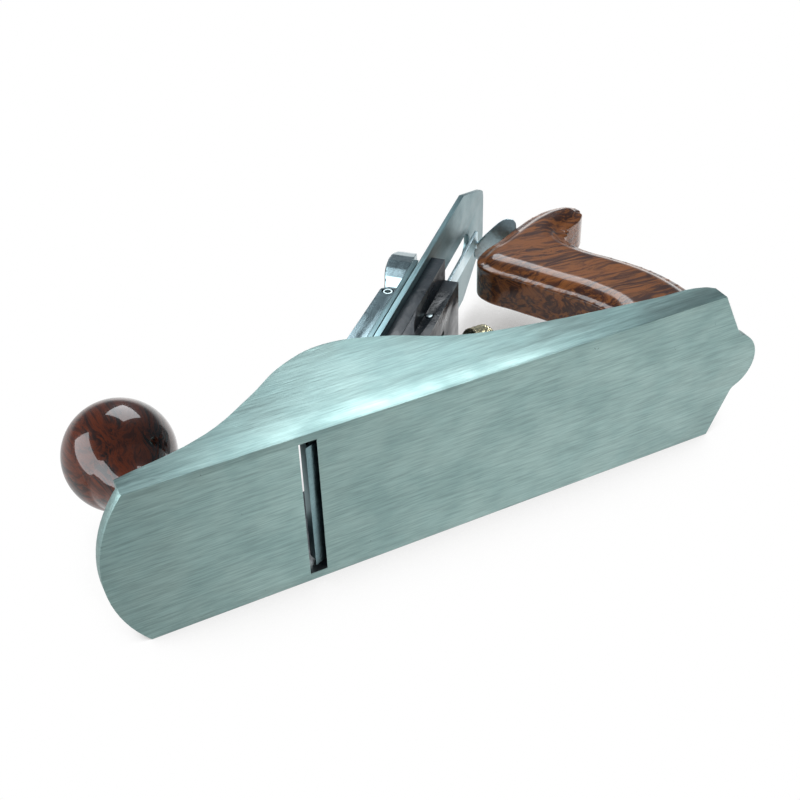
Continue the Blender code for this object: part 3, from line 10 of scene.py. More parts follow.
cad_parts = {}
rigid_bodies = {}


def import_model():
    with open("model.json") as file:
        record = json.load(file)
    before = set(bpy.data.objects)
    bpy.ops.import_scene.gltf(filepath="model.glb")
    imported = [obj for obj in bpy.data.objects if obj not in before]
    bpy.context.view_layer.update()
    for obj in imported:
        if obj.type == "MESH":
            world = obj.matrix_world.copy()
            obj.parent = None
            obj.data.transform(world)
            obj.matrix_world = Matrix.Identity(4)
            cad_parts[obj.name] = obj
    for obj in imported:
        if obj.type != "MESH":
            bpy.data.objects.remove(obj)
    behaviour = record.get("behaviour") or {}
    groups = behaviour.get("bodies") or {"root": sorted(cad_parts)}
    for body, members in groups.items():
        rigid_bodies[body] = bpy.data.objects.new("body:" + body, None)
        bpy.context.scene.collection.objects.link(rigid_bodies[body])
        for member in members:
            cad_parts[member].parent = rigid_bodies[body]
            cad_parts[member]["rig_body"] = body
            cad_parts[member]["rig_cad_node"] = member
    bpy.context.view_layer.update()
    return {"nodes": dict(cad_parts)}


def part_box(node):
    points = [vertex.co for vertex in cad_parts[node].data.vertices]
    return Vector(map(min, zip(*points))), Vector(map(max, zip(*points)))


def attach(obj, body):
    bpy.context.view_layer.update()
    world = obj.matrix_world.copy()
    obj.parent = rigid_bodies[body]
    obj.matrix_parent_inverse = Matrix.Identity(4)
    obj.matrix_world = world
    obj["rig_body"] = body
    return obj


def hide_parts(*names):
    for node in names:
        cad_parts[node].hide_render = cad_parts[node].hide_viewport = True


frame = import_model()

bl_info = {
    "name": "Bench Smoothing Plane",
    "version": (1, 0, 0),
    "blender": (4, 5, 0),
    "location": "View3D > Sidebar > Hand Plane",
    "description": "Builds the finished pieces of a bench smoothing plane",
    "category": "Add Mesh",
}

MM = 0.001
BED_X = 52.5 * MM                 # where the bed meets the sole's plane
BED_TURN = radians(45)
BED = Matrix.Translation((BED_X, 0, 0)) @ Matrix.Rotation(BED_TURN, 4, "Y")
HALF_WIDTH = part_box("body_casting")[1].y
FLOOR = 4.5 * MM                  # thickness of the sole
CHEEK = 3.0 * MM                  # thickness of a side wall
WELD = 0.002 * MM                 # vertices closer than this are one
KNOB_CENTRE = 56.7 * MM           # middle of the knob's ball above the sole
KNOB_X = 102 * MM
TOTE_LEAN = radians(13)           # slope of the tote's rod, back from upright
TOTE_ROD_HEAD = Vector((-79.5, 0, 108.6)) * MM


# ================================================================ sizes and colours
class PlaneSizes(bpy.types.PropertyGroup):
    arris: FloatProperty(name="Arris", description="Softened width of a machined edge", default=0.35 * MM,
                         min=0.05 * MM, max=1 * MM, unit="LENGTH", precision=5)
    cast_arris: FloatProperty(name="Cast arris", description="Softened width of a cast edge",
                              default=0.6 * MM, min=0.1 * MM, max=1.5 * MM, unit="LENGTH", precision=5)
    tote_round: FloatProperty(name="Grip rounding", description="Rounding of the tote's grip, from the side",
                              default=9.5 * MM, min=3 * MM, max=11 * MM, unit="LENGTH", precision=4)
    tote_foot_round: FloatProperty(name="Foot rounding", description="Rounding at the tote's foot",
                                   default=2.5 * MM, min=1 * MM, max=8 * MM, unit="LENGTH", precision=4)
    knurls: IntProperty(name="Knurls", description="Slanting ridges round the depth wheel", default=36,
                        min=30, max=100)
    knurl_depth: FloatProperty(name="Knurl depth", description="Depth of the depth wheel's ridges",
                               default=0.5 * MM, min=0.1 * MM, max=0.8 * MM, unit="LENGTH", precision=5)
    thread_pitch: FloatProperty(name="Thread pitch", description="Pitch of the depth stud's left-hand thread",
                                default=1.06 * MM, min=0.5 * MM, max=2 * MM, unit="LENGTH", precision=5)


def colour(name, description, default):
    return FloatVectorProperty(name=name, description=description, default=default, size=3, min=0, max=1,
                               subtype="COLOR")


class PlaneColours(bpy.types.PropertyGroup):
    ground_iron: colour("Ground iron", "Sole and cheeks", (0.335, 0.475, 0.455))
    japan: colour("Japanning", "Black enamel inside the casting and on the frog", (0.012, 0.019, 0.025))
    steel: colour("Bright steel", "Screws, rivets and studs", (0.42, 0.49, 0.50))
    iron_steel: colour("Iron steel", "Iron and chipbreaker", (0.21, 0.32, 0.34))
    plate: colour("Plating", "Lever cap and cam lever", (0.28, 0.38, 0.41))
    lever: colour("Worn plating", "Lateral lever and its curled tab", (0.66, 0.80, 0.84))
    brass: colour("Brass", "Depth wheel and nuts", (0.86, 0.78, 0.52))
    tote_light: colour("Tote, light grain", "Lighter streaks of the tote's wood", (0.34, 0.115, 0.026))
    tote_dark: colour("Tote, dark grain", "Darker streaks of the tote's wood", (0.060, 0.018, 0.009))
    knob_light: colour("Knob, light grain", "Lighter streaks of the knob's wood", (0.115, 0.022, 0.005))
    knob_dark: colour("Knob, dark grain", "Darker streaks of the knob's wood", (0.0030, 0.0014, 0.0014))
    shade: colour("Contact shade", "Studio floor close under the plane", (0.30, 0.29, 0.28))


def sizes():
    return bpy.context.scene.plane_sizes


def colours():
    return bpy.context.scene.plane_colours


# ================================================================ node helpers
def new_group(name, inputs, outputs):
    """An empty node group: (name, socket type, default) in, names of float sockets out."""
    tree = bpy.data.node_groups.new(name, "ShaderNodeTree")
    for label, kind, default in inputs:
        socket = tree.interface.new_socket(name=label, in_out="INPUT", socket_type=kind)
        if default is not None:
            socket.default_value = default
    for label, kind in outputs:
        tree.interface.new_socket(name=label, in_out="OUTPUT", socket_type=kind)
    return tree, tree.nodes.new("NodeGroupInput"), tree.nodes.new("NodeGroupOutput")


def node(tree, kind, inputs=None, **settings):
    """A node whose inputs are linked where they get a socket, and set where they get a value."""
    made = tree.nodes.new(kind)
    for key, value in settings.items():
        setattr(made, key, value)
    for key, value in (inputs or {}).items():
        if isinstance(value, bpy.types.NodeSocket):
            tree.links.new(value, made.inputs[key])
        else:
            made.inputs[key].default_value = value
    return made


def maths(tree, operation, first, second=0.0, third=0.0, clamp=False):
    return node(tree, "ShaderNodeMath", {0: first, 1: second, 2: third}, operation=operation,
                use_clamp=clamp).outputs[0]


def remap(tree, value, low, high, to_low=0.0, to_high=1.0):
    """Eases a value from one range to another, and holds it at the ends."""
    return node(tree, "ShaderNodeMapRange", {"Value": value, "From Min": low, "From Max": high,
                                             "To Min": to_low, "To Max": to_high},
                interpolation_type="SMOOTHSTEP").outputs["Result"]


def blend_colours(tree, factor, first, second, kind="MIX"):
    mixed = node(tree, "ShaderNodeMix", {"Factor": factor}, data_type="RGBA", blend_type=kind)
    for socket, value in ((mixed.inputs[6], first), (mixed.inputs[7], second)):
        if isinstance(value, bpy.types.NodeSocket):
            tree.links.new(value, socket)
        else:
            socket.default_value = (*tuple(value)[:3], 1.0)
    return mixed.outputs[2]


def scaled(tree, vector, scale):
    return node(tree, "ShaderNodeVectorMath", {0: vector, 1: scale}, operation="MULTIPLY").outputs[0]


def noise(tree, vector, detail, roughness, distortion=0.0):
    """Noise in cells of one unit, so the vector's own scale sets its size."""
    return node(tree, "ShaderNodeTexNoise", {
        "Vector": vector, "Scale": 1.0, "Detail": detail, "Roughness": roughness,
        "Distortion": distortion}).outputs[0]


# ================================================================ shared effects
def make_brushed_lines():
    """Fine lines along X, in two widths, with the odd deeper scratch."""
    tree, into, out = new_group("brushed_lines", [
        ("Vector", "NodeSocketVector", None), ("Fine", "NodeSocketFloat", 2600.0),
        ("Length", "NodeSocketFloat", 100.0)],
        [("Lines", "NodeSocketFloat"), ("Scratches", "NodeSocketFloat")])
    stretch = node(tree, "ShaderNodeCombineXYZ", {
        0: into.outputs["Length"], 1: into.outputs["Fine"], 2: into.outputs["Fine"]}).outputs[0]
    vector = into.outputs["Vector"]
    fine = noise(tree, scaled(tree, vector, stretch), 2.0, 0.6)
    wide = noise(tree, scaled(tree, vector, scaled(tree, stretch, (0.6, 0.35, 0.35))), 2.0, 0.5)
    lines = maths(tree, "MULTIPLY_ADD", fine, 0.6, maths(tree, "MULTIPLY", wide, 0.4))
    odd = noise(tree, scaled(tree, vector, scaled(tree, stretch, (1.6, 0.5, 0.5))), 1.0, 0.4)
    tree.links.new(remap(tree, lines, 0.30, 0.70), out.inputs["Lines"])
    tree.links.new(remap(tree, odd, 0.66, 0.76), out.inputs["Scratches"])
    return tree


def make_tarnish():
    """Broad cloudy patches and small dark pits of an old metal surface."""
    tree, into, out = new_group("tarnish", [
        ("Vector", "NodeSocketVector", None), ("Patch Size", "NodeSocketFloat", 45.0),
        ("Pit Size", "NodeSocketFloat", 1400.0), ("Pit Spread", "NodeSocketFloat", 0.5)],
        [("Patches", "NodeSocketFloat"), ("Pits", "NodeSocketFloat")])
    vector = into.outputs["Vector"]
    clouds = node(tree, "ShaderNodeTexNoise", {"Vector": vector, "Scale": into.outputs["Patch Size"],
                                               "Detail": 5.0, "Roughness": 0.6}).outputs[0]
    spots = node(tree, "ShaderNodeTexVoronoi", {"Vector": vector, "Scale": into.outputs["Pit Size"],
                                                "Randomness": 1.0}, feature="F1").outputs["Distance"]
    where = node(tree, "ShaderNodeTexNoise", {"Vector": vector, "Scale": 160.0, "Detail": 2.0}).outputs[0]
    spread = maths(tree, "MULTIPLY", into.outputs["Pit Spread"], 0.2)
    rare = remap(tree, where, maths(tree, "SUBTRACT", 0.78, spread), 0.80)
    pits = maths(tree, "MULTIPLY", remap(tree, spots, 0.34, 0.16), rare, clamp=True)
    tree.links.new(remap(tree, clouds, 0.34, 0.68), out.inputs["Patches"])
    tree.links.new(pits, out.inputs["Pits"])
    return tree


def make_edge_wear():
    """A broken mask along the outward edges of a piece."""
    tree, into, out = new_group("edge_wear", [
        ("Vector", "NodeSocketVector", None), ("Start", "NodeSocketFloat", 0.52),
        ("Patchiness", "NodeSocketFloat", 300.0)], [("Wear", "NodeSocketFloat")])
    pointed = node(tree, "ShaderNodeNewGeometry").outputs["Pointiness"]
    rough = node(tree, "ShaderNodeTexNoise", {"Vector": into.outputs["Vector"], "Detail": 3.0,
                                              "Scale": into.outputs["Patchiness"]}).outputs[0]
    shifted = maths(tree, "MULTIPLY_ADD", rough, 0.09, maths(tree, "SUBTRACT", pointed, 0.045))
    wear = remap(tree, shifted, into.outputs["Start"], maths(tree, "ADD", into.outputs["Start"], 0.05))
    tree.links.new(wear, out.inputs["Wear"])
    return tree


def make_cast_skin():
    """The height of a sand-cast surface under enamel."""
    tree, into, out = new_group("cast_skin", [
        ("Vector", "NodeSocketVector", None), ("Grit", "NodeSocketFloat", 900.0)],
        [("Height", "NodeSocketFloat")])
    grit = node(tree, "ShaderNodeTexNoise", {"Vector": into.outputs["Vector"], "Scale": into.outputs["Grit"],
                                             "Detail": 3.0, "Roughness": 0.55}).outputs[0]
    lumps = node(tree, "ShaderNodeTexNoise", {
        "Vector": into.outputs["Vector"], "Detail": 2.0,
        "Scale": maths(tree, "MULTIPLY", into.outputs["Grit"], 0.33)}).outputs[0]
    tree.links.new(maths(tree, "MULTIPLY_ADD", lumps, 0.65, maths(tree, "MULTIPLY", grit, 0.35)),
                   out.inputs["Height"])
    return tree


def make_wood_grain():
    """Streaks, growth rings and pores with the grain along X."""
    tree, into, out = new_group("wood_grain", [
        ("Vector", "NodeSocketVector", None), ("Streaks per Metre", "NodeSocketFloat", 260.0),
        ("Rings per Metre", "NodeSocketFloat", 110.0)],
        [("Streaks", "NodeSocketFloat"), ("Rings", "NodeSocketFloat"), ("Pores", "NodeSocketFloat")])
    vector = into.outputs["Vector"]
    across = into.outputs["Streaks per Metre"]
    bend = node(tree, "ShaderNodeTexNoise", {
        "Vector": scaled(tree, vector, (9.0, 22.0, 22.0)), "Detail": 1.0}).outputs[1]
    bent = node(tree, "ShaderNodeVectorMath", {0: bend, 1: (0.0, 0.010, 0.010), 2: vector},
                operation="MULTIPLY_ADD").outputs[0]
    along = maths(tree, "MULTIPLY", across, 0.05)
    stretch = node(tree, "ShaderNodeCombineXYZ", {0: along, 1: across, 2: across})
    streaks = noise(tree, scaled(tree, bent, stretch.outputs[0]), 4.0, 0.62, 0.3)
    growth = into.outputs["Rings per Metre"]
    ring = node(tree, "ShaderNodeCombineXYZ", {
        0: maths(tree, "MULTIPLY", growth, 0.035), 1: maths(tree, "MULTIPLY", growth, 0.5), 2: growth})
    rings = noise(tree, scaled(tree, bent, ring.outputs[0]), 2.0, 0.5, 0.8)
    pore = noise(tree, scaled(tree, bent, (220.0, 5200.0, 5200.0)), 1.0, 0.5)
    tree.links.new(remap(tree, streaks, 0.34, 0.66), out.inputs["Streaks"])
    tree.links.new(remap(tree, rings, 0.36, 0.64), out.inputs["Rings"])
    tree.links.new(remap(tree, pore, 0.60, 0.72), out.inputs["Pores"])
    return tree


def shared(name):
    """Each effect's node group is made once, when a material first uses it."""
    makers = {"brushed_lines": make_brushed_lines, "tarnish": make_tarnish, "edge_wear": make_edge_wear,
              "cast_skin": make_cast_skin, "wood_grain": make_wood_grain}
    return bpy.data.node_groups.get(name) or makers[name]()


def use(tree, name, inputs):
    """Places a shared effect in a material, with this material's own values."""
    placed = tree.nodes.new("ShaderNodeGroup")
    placed.node_tree = shared(name)
    for key, value in inputs.items():
        if isinstance(value, bpy.types.NodeSocket):
            tree.links.new(value, placed.inputs[key])
        else:
            placed.inputs[key].default_value = value
    return placed.outputs


# ================================================================ materials
def start_material(name, turn=(0.0, 0.0, 0.0), place=(0.0, 0.0, 0.0)):
    """A material with its Principled shader and a turned Object-coordinate frame."""
    material = bpy.data.materials.new(name)
    material.use_nodes = True
    tree = material.node_tree
    shader = tree.nodes["Principled BSDF"]
    where = node(tree, "ShaderNodeTexCoord").outputs["Object"]
    mapped = node(tree, "ShaderNodeMapping", {"Vector": where, "Location": place, "Rotation": turn},
                  vector_type="TEXTURE").outputs[0]
    return material, tree, shader, mapped


def set_shader(shader, **values):
    for key, value in values.items():
        shader.inputs[key.replace("_", " ")].default_value = value


def bump(tree, shader, height, distance, strength=1.0):
    made = node(tree, "ShaderNodeBump", {"Height": height, "Distance": distance, "Strength": strength})
    tree.links.new(made.outputs[0], shader.inputs["Normal"])


def metal(name, tint, roughness=0.36, spread=0.10, line_depth=0.03, turn=(0, 0, 0), place=(0, 0, 0),
          fine=2400.0, length=100.0, dark=0.78, pit=0.5, patch_tint=(0.86, 0.92, 0.94)):
    """Ground or polished metal with lines along its own X, cloudy tarnish and pits."""
    material, tree, shader, mapped = start_material(name, turn, place)
    lines = use(tree, "brushed_lines", {"Vector": mapped, "Fine": fine, "Length": length})
    worn = use(tree, "tarnish", {"Vector": mapped, "Pit Spread": pit})
    shade = blend_colours(tree, lines["Lines"], [c * dark for c in tint], tint)
    shade = blend_colours(tree, maths(tree, "MULTIPLY", worn["Patches"], 0.6), shade,
                          blend_colours(tree, 1.0, shade, patch_tint, "MULTIPLY"))
    shade = blend_colours(tree, worn["Pits"], shade, [c * 0.22 for c in tint])
    tree.links.new(shade, shader.inputs["Base Color"])
    rough = maths(tree, "MULTIPLY_ADD", lines["Lines"], spread * 0.5, roughness - spread * 0.4)
    rough = maths(tree, "MULTIPLY_ADD", worn["Patches"], spread, rough)
    tree.links.new(maths(tree, "ADD", rough, maths(tree, "MULTIPLY", worn["Pits"], 0.3), clamp=True),
                   shader.inputs["Roughness"])
    pits = maths(tree, "MULTIPLY", worn["Pits"], 2.0)
    height = maths(tree, "SUBTRACT", maths(tree, "MULTIPLY", lines["Lines"], 0.5),
                   maths(tree, "MULTIPLY_ADD", lines["Scratches"], 0.5, pits))
    bump(tree, shader, height, line_depth * MM, 0.6)
    set_shader(shader, Metallic=1.0)
    return material


def japanned(name, grit=900.0, depth=0.22, wear=0.53):
    """Black enamel over a sand casting, worn to bare iron on its outward edges."""
    material, tree, shader, mapped = start_material(name)
    skin = use(tree, "cast_skin", {"Vector": mapped, "Grit": grit})
    edge = use(tree, "edge_wear", {"Vector": mapped, "Start": wear})["Wear"]
    dust = use(tree, "tarnish", {"Vector": mapped, "Patch Size": 60.0, "Pit Spread": 0.2})
    japan = tuple(colours().japan)
    black = blend_colours(tree, maths(tree, "MULTIPLY", dust["Patches"], 0.55), japan,
                          [c * 2.4 + 0.008 for c in japan])
    tree.links.new(blend_colours(tree, maths(tree, "MULTIPLY", edge, 0.75), black, (0.20, 0.22, 0.22)),
                   shader.inputs["Base Color"])
    tree.links.new(maths(tree, "MULTIPLY", edge, 0.7), shader.inputs["Metallic"])
    tree.links.new(remap(tree, dust["Patches"], 0.0, 1.0, 0.26, 0.44), shader.inputs["Roughness"])
    bump(tree, shader, skin["Height"], depth * MM, 1.0)
    set_shader(shader, Specular_IOR_Level=0.35, Coat_Weight=0.15, Coat_Roughness=0.16)
    return material


def wood(name, light, dark, turn, streaks=620.0, rings=210.0, roughness=0.34, coat=0.9, coat_roughness=0.12,
         rise=1.0, place=(0, 0, 0), light_share=1.0):
    """Lacquered rosewood: streaks, rings and pores under a clear coat."""
    material, tree, shader, mapped = start_material(name, turn, place)
    grain = use(tree, "wood_grain", {
        "Vector": mapped, "Streaks per Metre": streaks, "Rings per Metre": rings})
    mix = maths(tree, "MULTIPLY_ADD", grain["Streaks"], 0.6, maths(tree, "MULTIPLY", grain["Rings"], 0.4))
    mix = maths(tree, "MULTIPLY", remap(tree, mix, 0.18, 0.82), light_share)
    tone = blend_colours(tree, mix, dark, light)
    tone = blend_colours(tree, maths(tree, "MULTIPLY", grain["Rings"], 0.28), tone,
                         [light[0] * 0.62, light[1] * 0.5, light[2] * 0.8])
    tone = blend_colours(tree, maths(tree, "MULTIPLY", grain["Pores"], 0.55), tone, [c * 0.25 for c in dark])
    tree.links.new(tone, shader.inputs["Base Color"])
    tree.links.new(maths(tree, "MULTIPLY_ADD", grain["Streaks"], -0.10, roughness + 0.06),
                   shader.inputs["Roughness"])
    bump(tree, shader, maths(tree, "MULTIPLY", grain["Pores"], -1.0), 0.02 * MM * rise, 0.5)
    set_shader(shader, Specular_IOR_Level=0.12, Coat_Weight=coat, Coat_Roughness=coat_roughness,
               Coat_IOR=1.5)
    return material


def finish(name):
    """Each finish is made once, when a piece first asks for it."""
    name = "finish_" + name
    made = bpy.data.materials.get(name)
    if made:
        return made
    tint = colours()
    bed = {"turn": (0, BED_TURN, 0), "place": (BED_X, 0, 0)}
    makers = {
        "ground_iron": lambda: metal(name, tint.ground_iron, 0.40, 0.12, 0.06, dark=0.66, pit=0.45),
        "japanned_casting": lambda: japanned(name, 700.0, 0.34, 0.58),
        "japanned_frog": lambda: japanned(name, 520.0, 0.42, 0.60),
        "machined_frog": lambda: metal(name, tint.ground_iron, 0.42, 0.1, 0.05, **bed),
        "bright_steel": lambda: metal(name, tint.steel, 0.30, 0.14, 0.02, fine=1800.0, length=120.0, pit=0.8),
        "bed_steel": lambda: metal(name, tint.steel, 0.30, 0.14, 0.02, fine=1800.0, length=120.0, pit=0.6,
                                   **bed),
        "iron_steel": lambda: metal(name, tint.iron_steel, 0.34, 0.12, 0.03, fine=2200.0, length=60.0,
                                    dark=0.72, pit=0.7, **bed),
        "breaker_steel": lambda: metal(name, tint.iron_steel, 0.30, 0.12, 0.02, fine=2600.0, length=80.0,
                                       dark=0.85, pit=0.4, **bed),
        "plated_cap": lambda: metal(name, tint.plate, 0.16, 0.10, 0.006, fine=3200.0, length=60.0, dark=0.93,
                                    pit=0.15, **bed),
        "plated_cam": lambda: metal(name, tint.plate, 0.20, 0.12, 0.010, fine=1600.0, length=300.0, dark=0.90,
                                    pit=0.5, **bed),
        "plated_lever": lambda: metal(name, tint.lever, 0.30, 0.14, 0.02, fine=900.0,
                                      length=400.0, dark=0.80, pit=0.9, **bed),
        "brass": lambda: metal(name, tint.brass, 0.26, 0.14, 0.01, fine=2000.0, length=200.0, dark=0.82,
                               patch_tint=(0.80, 0.86, 0.90)),
        "tote_wood": lambda: wood(name, tint.tote_light, tint.tote_dark, (0, radians(-8), 0)),
        "knob_wood": lambda: wood(name, tint.knob_light, tint.knob_dark, (0, radians(90), 0), streaks=700.0,
                                  rings=170.0, roughness=0.30, coat=1.0, coat_roughness=0.035, rise=0.4,
                                  place=(KNOB_X, 0, 0), light_share=0.85),
    }
    return makers[name.removeprefix("finish_")]()


# ================================================================ modelling helpers
def only(obj):
    bpy.ops.object.select_all(action="DESELECT")
    obj.select_set(True)
    bpy.context.view_layer.objects.active = obj
    return obj


def name_piece(obj, name):
    obj.name = name
    obj.data.name = name
    return obj


def apply_modifier(obj, kind, **settings):
    only(obj)
    modifier = obj.modifiers.new(kind.lower(), kind)
    for key, value in settings.items():
        setattr(modifier, key, value)
    bpy.ops.object.modifier_apply(modifier=modifier.name)


def settle(obj, place=None):
    """Puts the object's own turn and place into its mesh."""
    if place is not None:
        obj.matrix_world = place @ obj.matrix_world
    only(obj)
    bpy.ops.object.transform_apply(location=True, rotation=True, scale=True)


def edit(obj, *steps):
    """Runs edit mode operators on the whole of a mesh."""
    only(obj)
    bpy.ops.object.mode_set(mode="EDIT")
    bpy.ops.mesh.select_all(action="SELECT")
    for step, settings in steps:
        step(**settings)
    bpy.ops.object.mode_set(mode="OBJECT")


def hand_over(piece, body, nodes, materials, angle=38):
    """Gives a finished piece its materials, its body and its place in the model."""
    piece.data.materials.clear()
    for material in materials:
        piece.data.materials.append(finish(material))
    only(piece)
    bpy.ops.object.shade_smooth_by_angle(angle=radians(angle))
    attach(piece, body)
    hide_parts(*nodes)
    return piece


def merged_copy(source):
    """A node's own shape as one welded mesh, free of the frame."""
    only(frame["nodes"][source])
    bpy.ops.object.duplicate()
    piece = bpy.context.view_layer.objects.active
    bpy.ops.object.parent_clear(type="CLEAR_KEEP_TRANSFORM")
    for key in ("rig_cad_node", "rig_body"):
        if key in piece:
            del piece[key]
    name_piece(piece, source + "_worked")
    piece.data.materials.clear()
    edit(piece, (bpy.ops.mesh.customdata_custom_splitnormals_clear, {}),
         (bpy.ops.mesh.remove_doubles, {"threshold": WELD}),
         (bpy.ops.mesh.dissolve_limited, {"angle_limit": radians(0.4)}))
    return piece


def worked_copy(source, body, materials, arris, angle=38, segments=2):
    """A node's shape with its edges eased, as a file and cloth would leave them."""
    piece = merged_copy(source)
    if arris:
        apply_modifier(piece, "BEVEL", width=arris, segments=segments, limit_method="ANGLE",
                       angle_limit=radians(32), use_clamp_overlap=True, harden_normals=False)
    return hand_over(piece, body, [source], materials, angle)


def cast_copy(source, voxel, passes):
    """A node's shape with every edge flowing, as polished from a casting."""
    piece = merged_copy(source)
    settle(piece, BED.inverted())
    apply_modifier(piece, "REMESH", mode="VOXEL", voxel_size=voxel)
    apply_modifier(piece, "SMOOTH", factor=0.5, iterations=passes)
    settle(piece, BED)
    return piece


def turned_ring(name, profile, steps=96):
    """A profile of (radius, height) turned about Z by a Screw modifier."""
    bpy.ops.object.select_all(action="DESELECT")
    bpy.ops.mesh.primitive_circle_add(vertices=len(profile), radius=10 * MM, fill_type="NOTHING")
    piece = name_piece(bpy.context.view_layer.objects.active, name)
    for vertex, (radius, height) in zip(piece.data.vertices, profile):
        vertex.co = (radius, 0, height)
    if profile[0][0] == 0 and profile[-1][0] == 0:
        last = len(profile) - 1
        bpy.ops.object.mode_set(mode="EDIT")
        bpy.ops.mesh.select_all(action="DESELECT")
        bpy.ops.object.mode_set(mode="OBJECT")
        for edge in piece.data.edges:
            edge.select = set(edge.vertices) == {0, last}
        bpy.ops.object.mode_set(mode="EDIT")
        bpy.ops.mesh.select_mode(type="EDGE")
        bpy.ops.mesh.delete(type="EDGE")
        bpy.ops.mesh.select_mode(type="VERT")
        bpy.ops.object.mode_set(mode="OBJECT")
    apply_modifier(piece, "SCREW", axis="Z", steps=steps, render_steps=steps, use_merge_vertices=True,
                   merge_threshold=0.00001)
    edit(piece, (bpy.ops.mesh.remove_doubles, {"threshold": WELD}),
         (bpy.ops.mesh.normals_make_consistent, {"inside": False}))
    return piece


def along_axis(start, towards):
    """The place of a piece whose own Z axis starts here and runs that way."""
    return Matrix.Translation(start) @ Vector(towards).to_track_quat("Z", "Y").to_matrix().to_4x4()


def arc(centre, radius, start, end, steps):
    return [(centre[0] + radius * cos(start + (end - start) * i / steps),
             centre[1] + radius * sin(start + (end - start) * i / steps)) for i in range(steps + 1)]


def flowing(points, steps=6):
    """More points on a soft curve through the given ones."""
    p = [Vector(q) for q in points]
    p = [2 * p[0] - p[1]] + p + [2 * p[-1] - p[-2]]
    line = []
    for a, b, c, d in zip(p, p[1:], p[2:], p[3:]):
        for i in range(steps):
            t = i / steps
            line.append(0.5 * ((2 * b) + (c - a) * t + (2 * a - 5 * b + 4 * c - d) * t * t
                               + (3 * b - a - 3 * c + d) * t ** 3))
    return [tuple(q) for q in line] + [tuple(p[-2])]


def read_points(mesh):
    points = np.empty(len(mesh.vertices) * 3)
    mesh.vertices.foreach_get("co", points)
    return points.reshape(-1, 3)


def write_points(mesh, points):
    mesh.vertices.foreach_set("co", points.ravel())
    mesh.update()


# ================================================================ stage
FLOOR_SIZE = 6.0
FLOOR_GAP = 0.1 * MM
SHADE_REACH = 75 * MM             # how far the contact shade spreads over a floor
SOFTBOX_TINT = (0.93, 0.97, 1.0)


def lit_floor(name, place, turn):
    """A pale floor that only the camera sees, and only from its front."""
    bpy.ops.object.select_all(action="DESELECT")
    bpy.ops.mesh.primitive_plane_add(size=FLOOR_SIZE, location=place, rotation=turn)
    floor = name_piece(bpy.context.view_layer.objects.active, name)
    edit(floor, (bpy.ops.mesh.subdivide, {"number_cuts": 3}))
    material = bpy.data.materials.get("studio_floor")
    if material is None:
        material = bpy.data.materials.new("studio_floor")
        material.use_nodes = True
        tree = material.node_tree
        tree.nodes.remove(tree.nodes["Principled BSDF"])
        open_share = node(tree, "ShaderNodeAmbientOcclusion", {"Distance": SHADE_REACH},
                          samples=16).outputs["AO"]
        shade = blend_colours(tree, remap(tree, open_share, 0.10, 0.66), colours().shade, (1, 1, 1))
        pale = node(tree, "ShaderNodeEmission", {"Color": shade})
        clear = node(tree, "ShaderNodeBsdfTransparent")
        seen = maths(tree, "MULTIPLY", node(tree, "ShaderNodeLightPath").outputs["Is Camera Ray"],
                     maths(tree, "SUBTRACT", 1.0, node(tree, "ShaderNodeNewGeometry").outputs["Backfacing"]))
        shown = node(tree, "ShaderNodeMixShader", {0: seen, 1: clear.outputs[0], 2: pale.outputs[0]})
        tree.links.new(shown.outputs[0], tree.nodes["Material Output"].inputs["Surface"])
    floor.data.materials.append(material)
    floor.visible_shadow = False


def softbox(name, direction, distance, width, height, radiance, long_way):
    """A rectangular light that faces the knob, with a given brightness."""
    light = bpy.data.lights.new(name, "AREA")
    light.shape = "RECTANGLE"
    light.size, light.size_y = width, height
    light.energy = radiance * pi * width * height
    light.color = SOFTBOX_TINT
    box = bpy.data.objects.new(name, light)
    bpy.context.scene.collection.objects.link(box)
    back = Vector(direction).normalized()
    up = Vector(long_way)
    up = (up - back * up.dot(back)).normalized()
    side = up.cross(back)
    turn = Matrix((side, up, back)).transposed()
    knob = Vector((KNOB_X, 0, KNOB_CENTRE))
    box.matrix_world = Matrix.Translation(knob + back * distance) @ turn.to_4x4()
    box.visible_camera = False


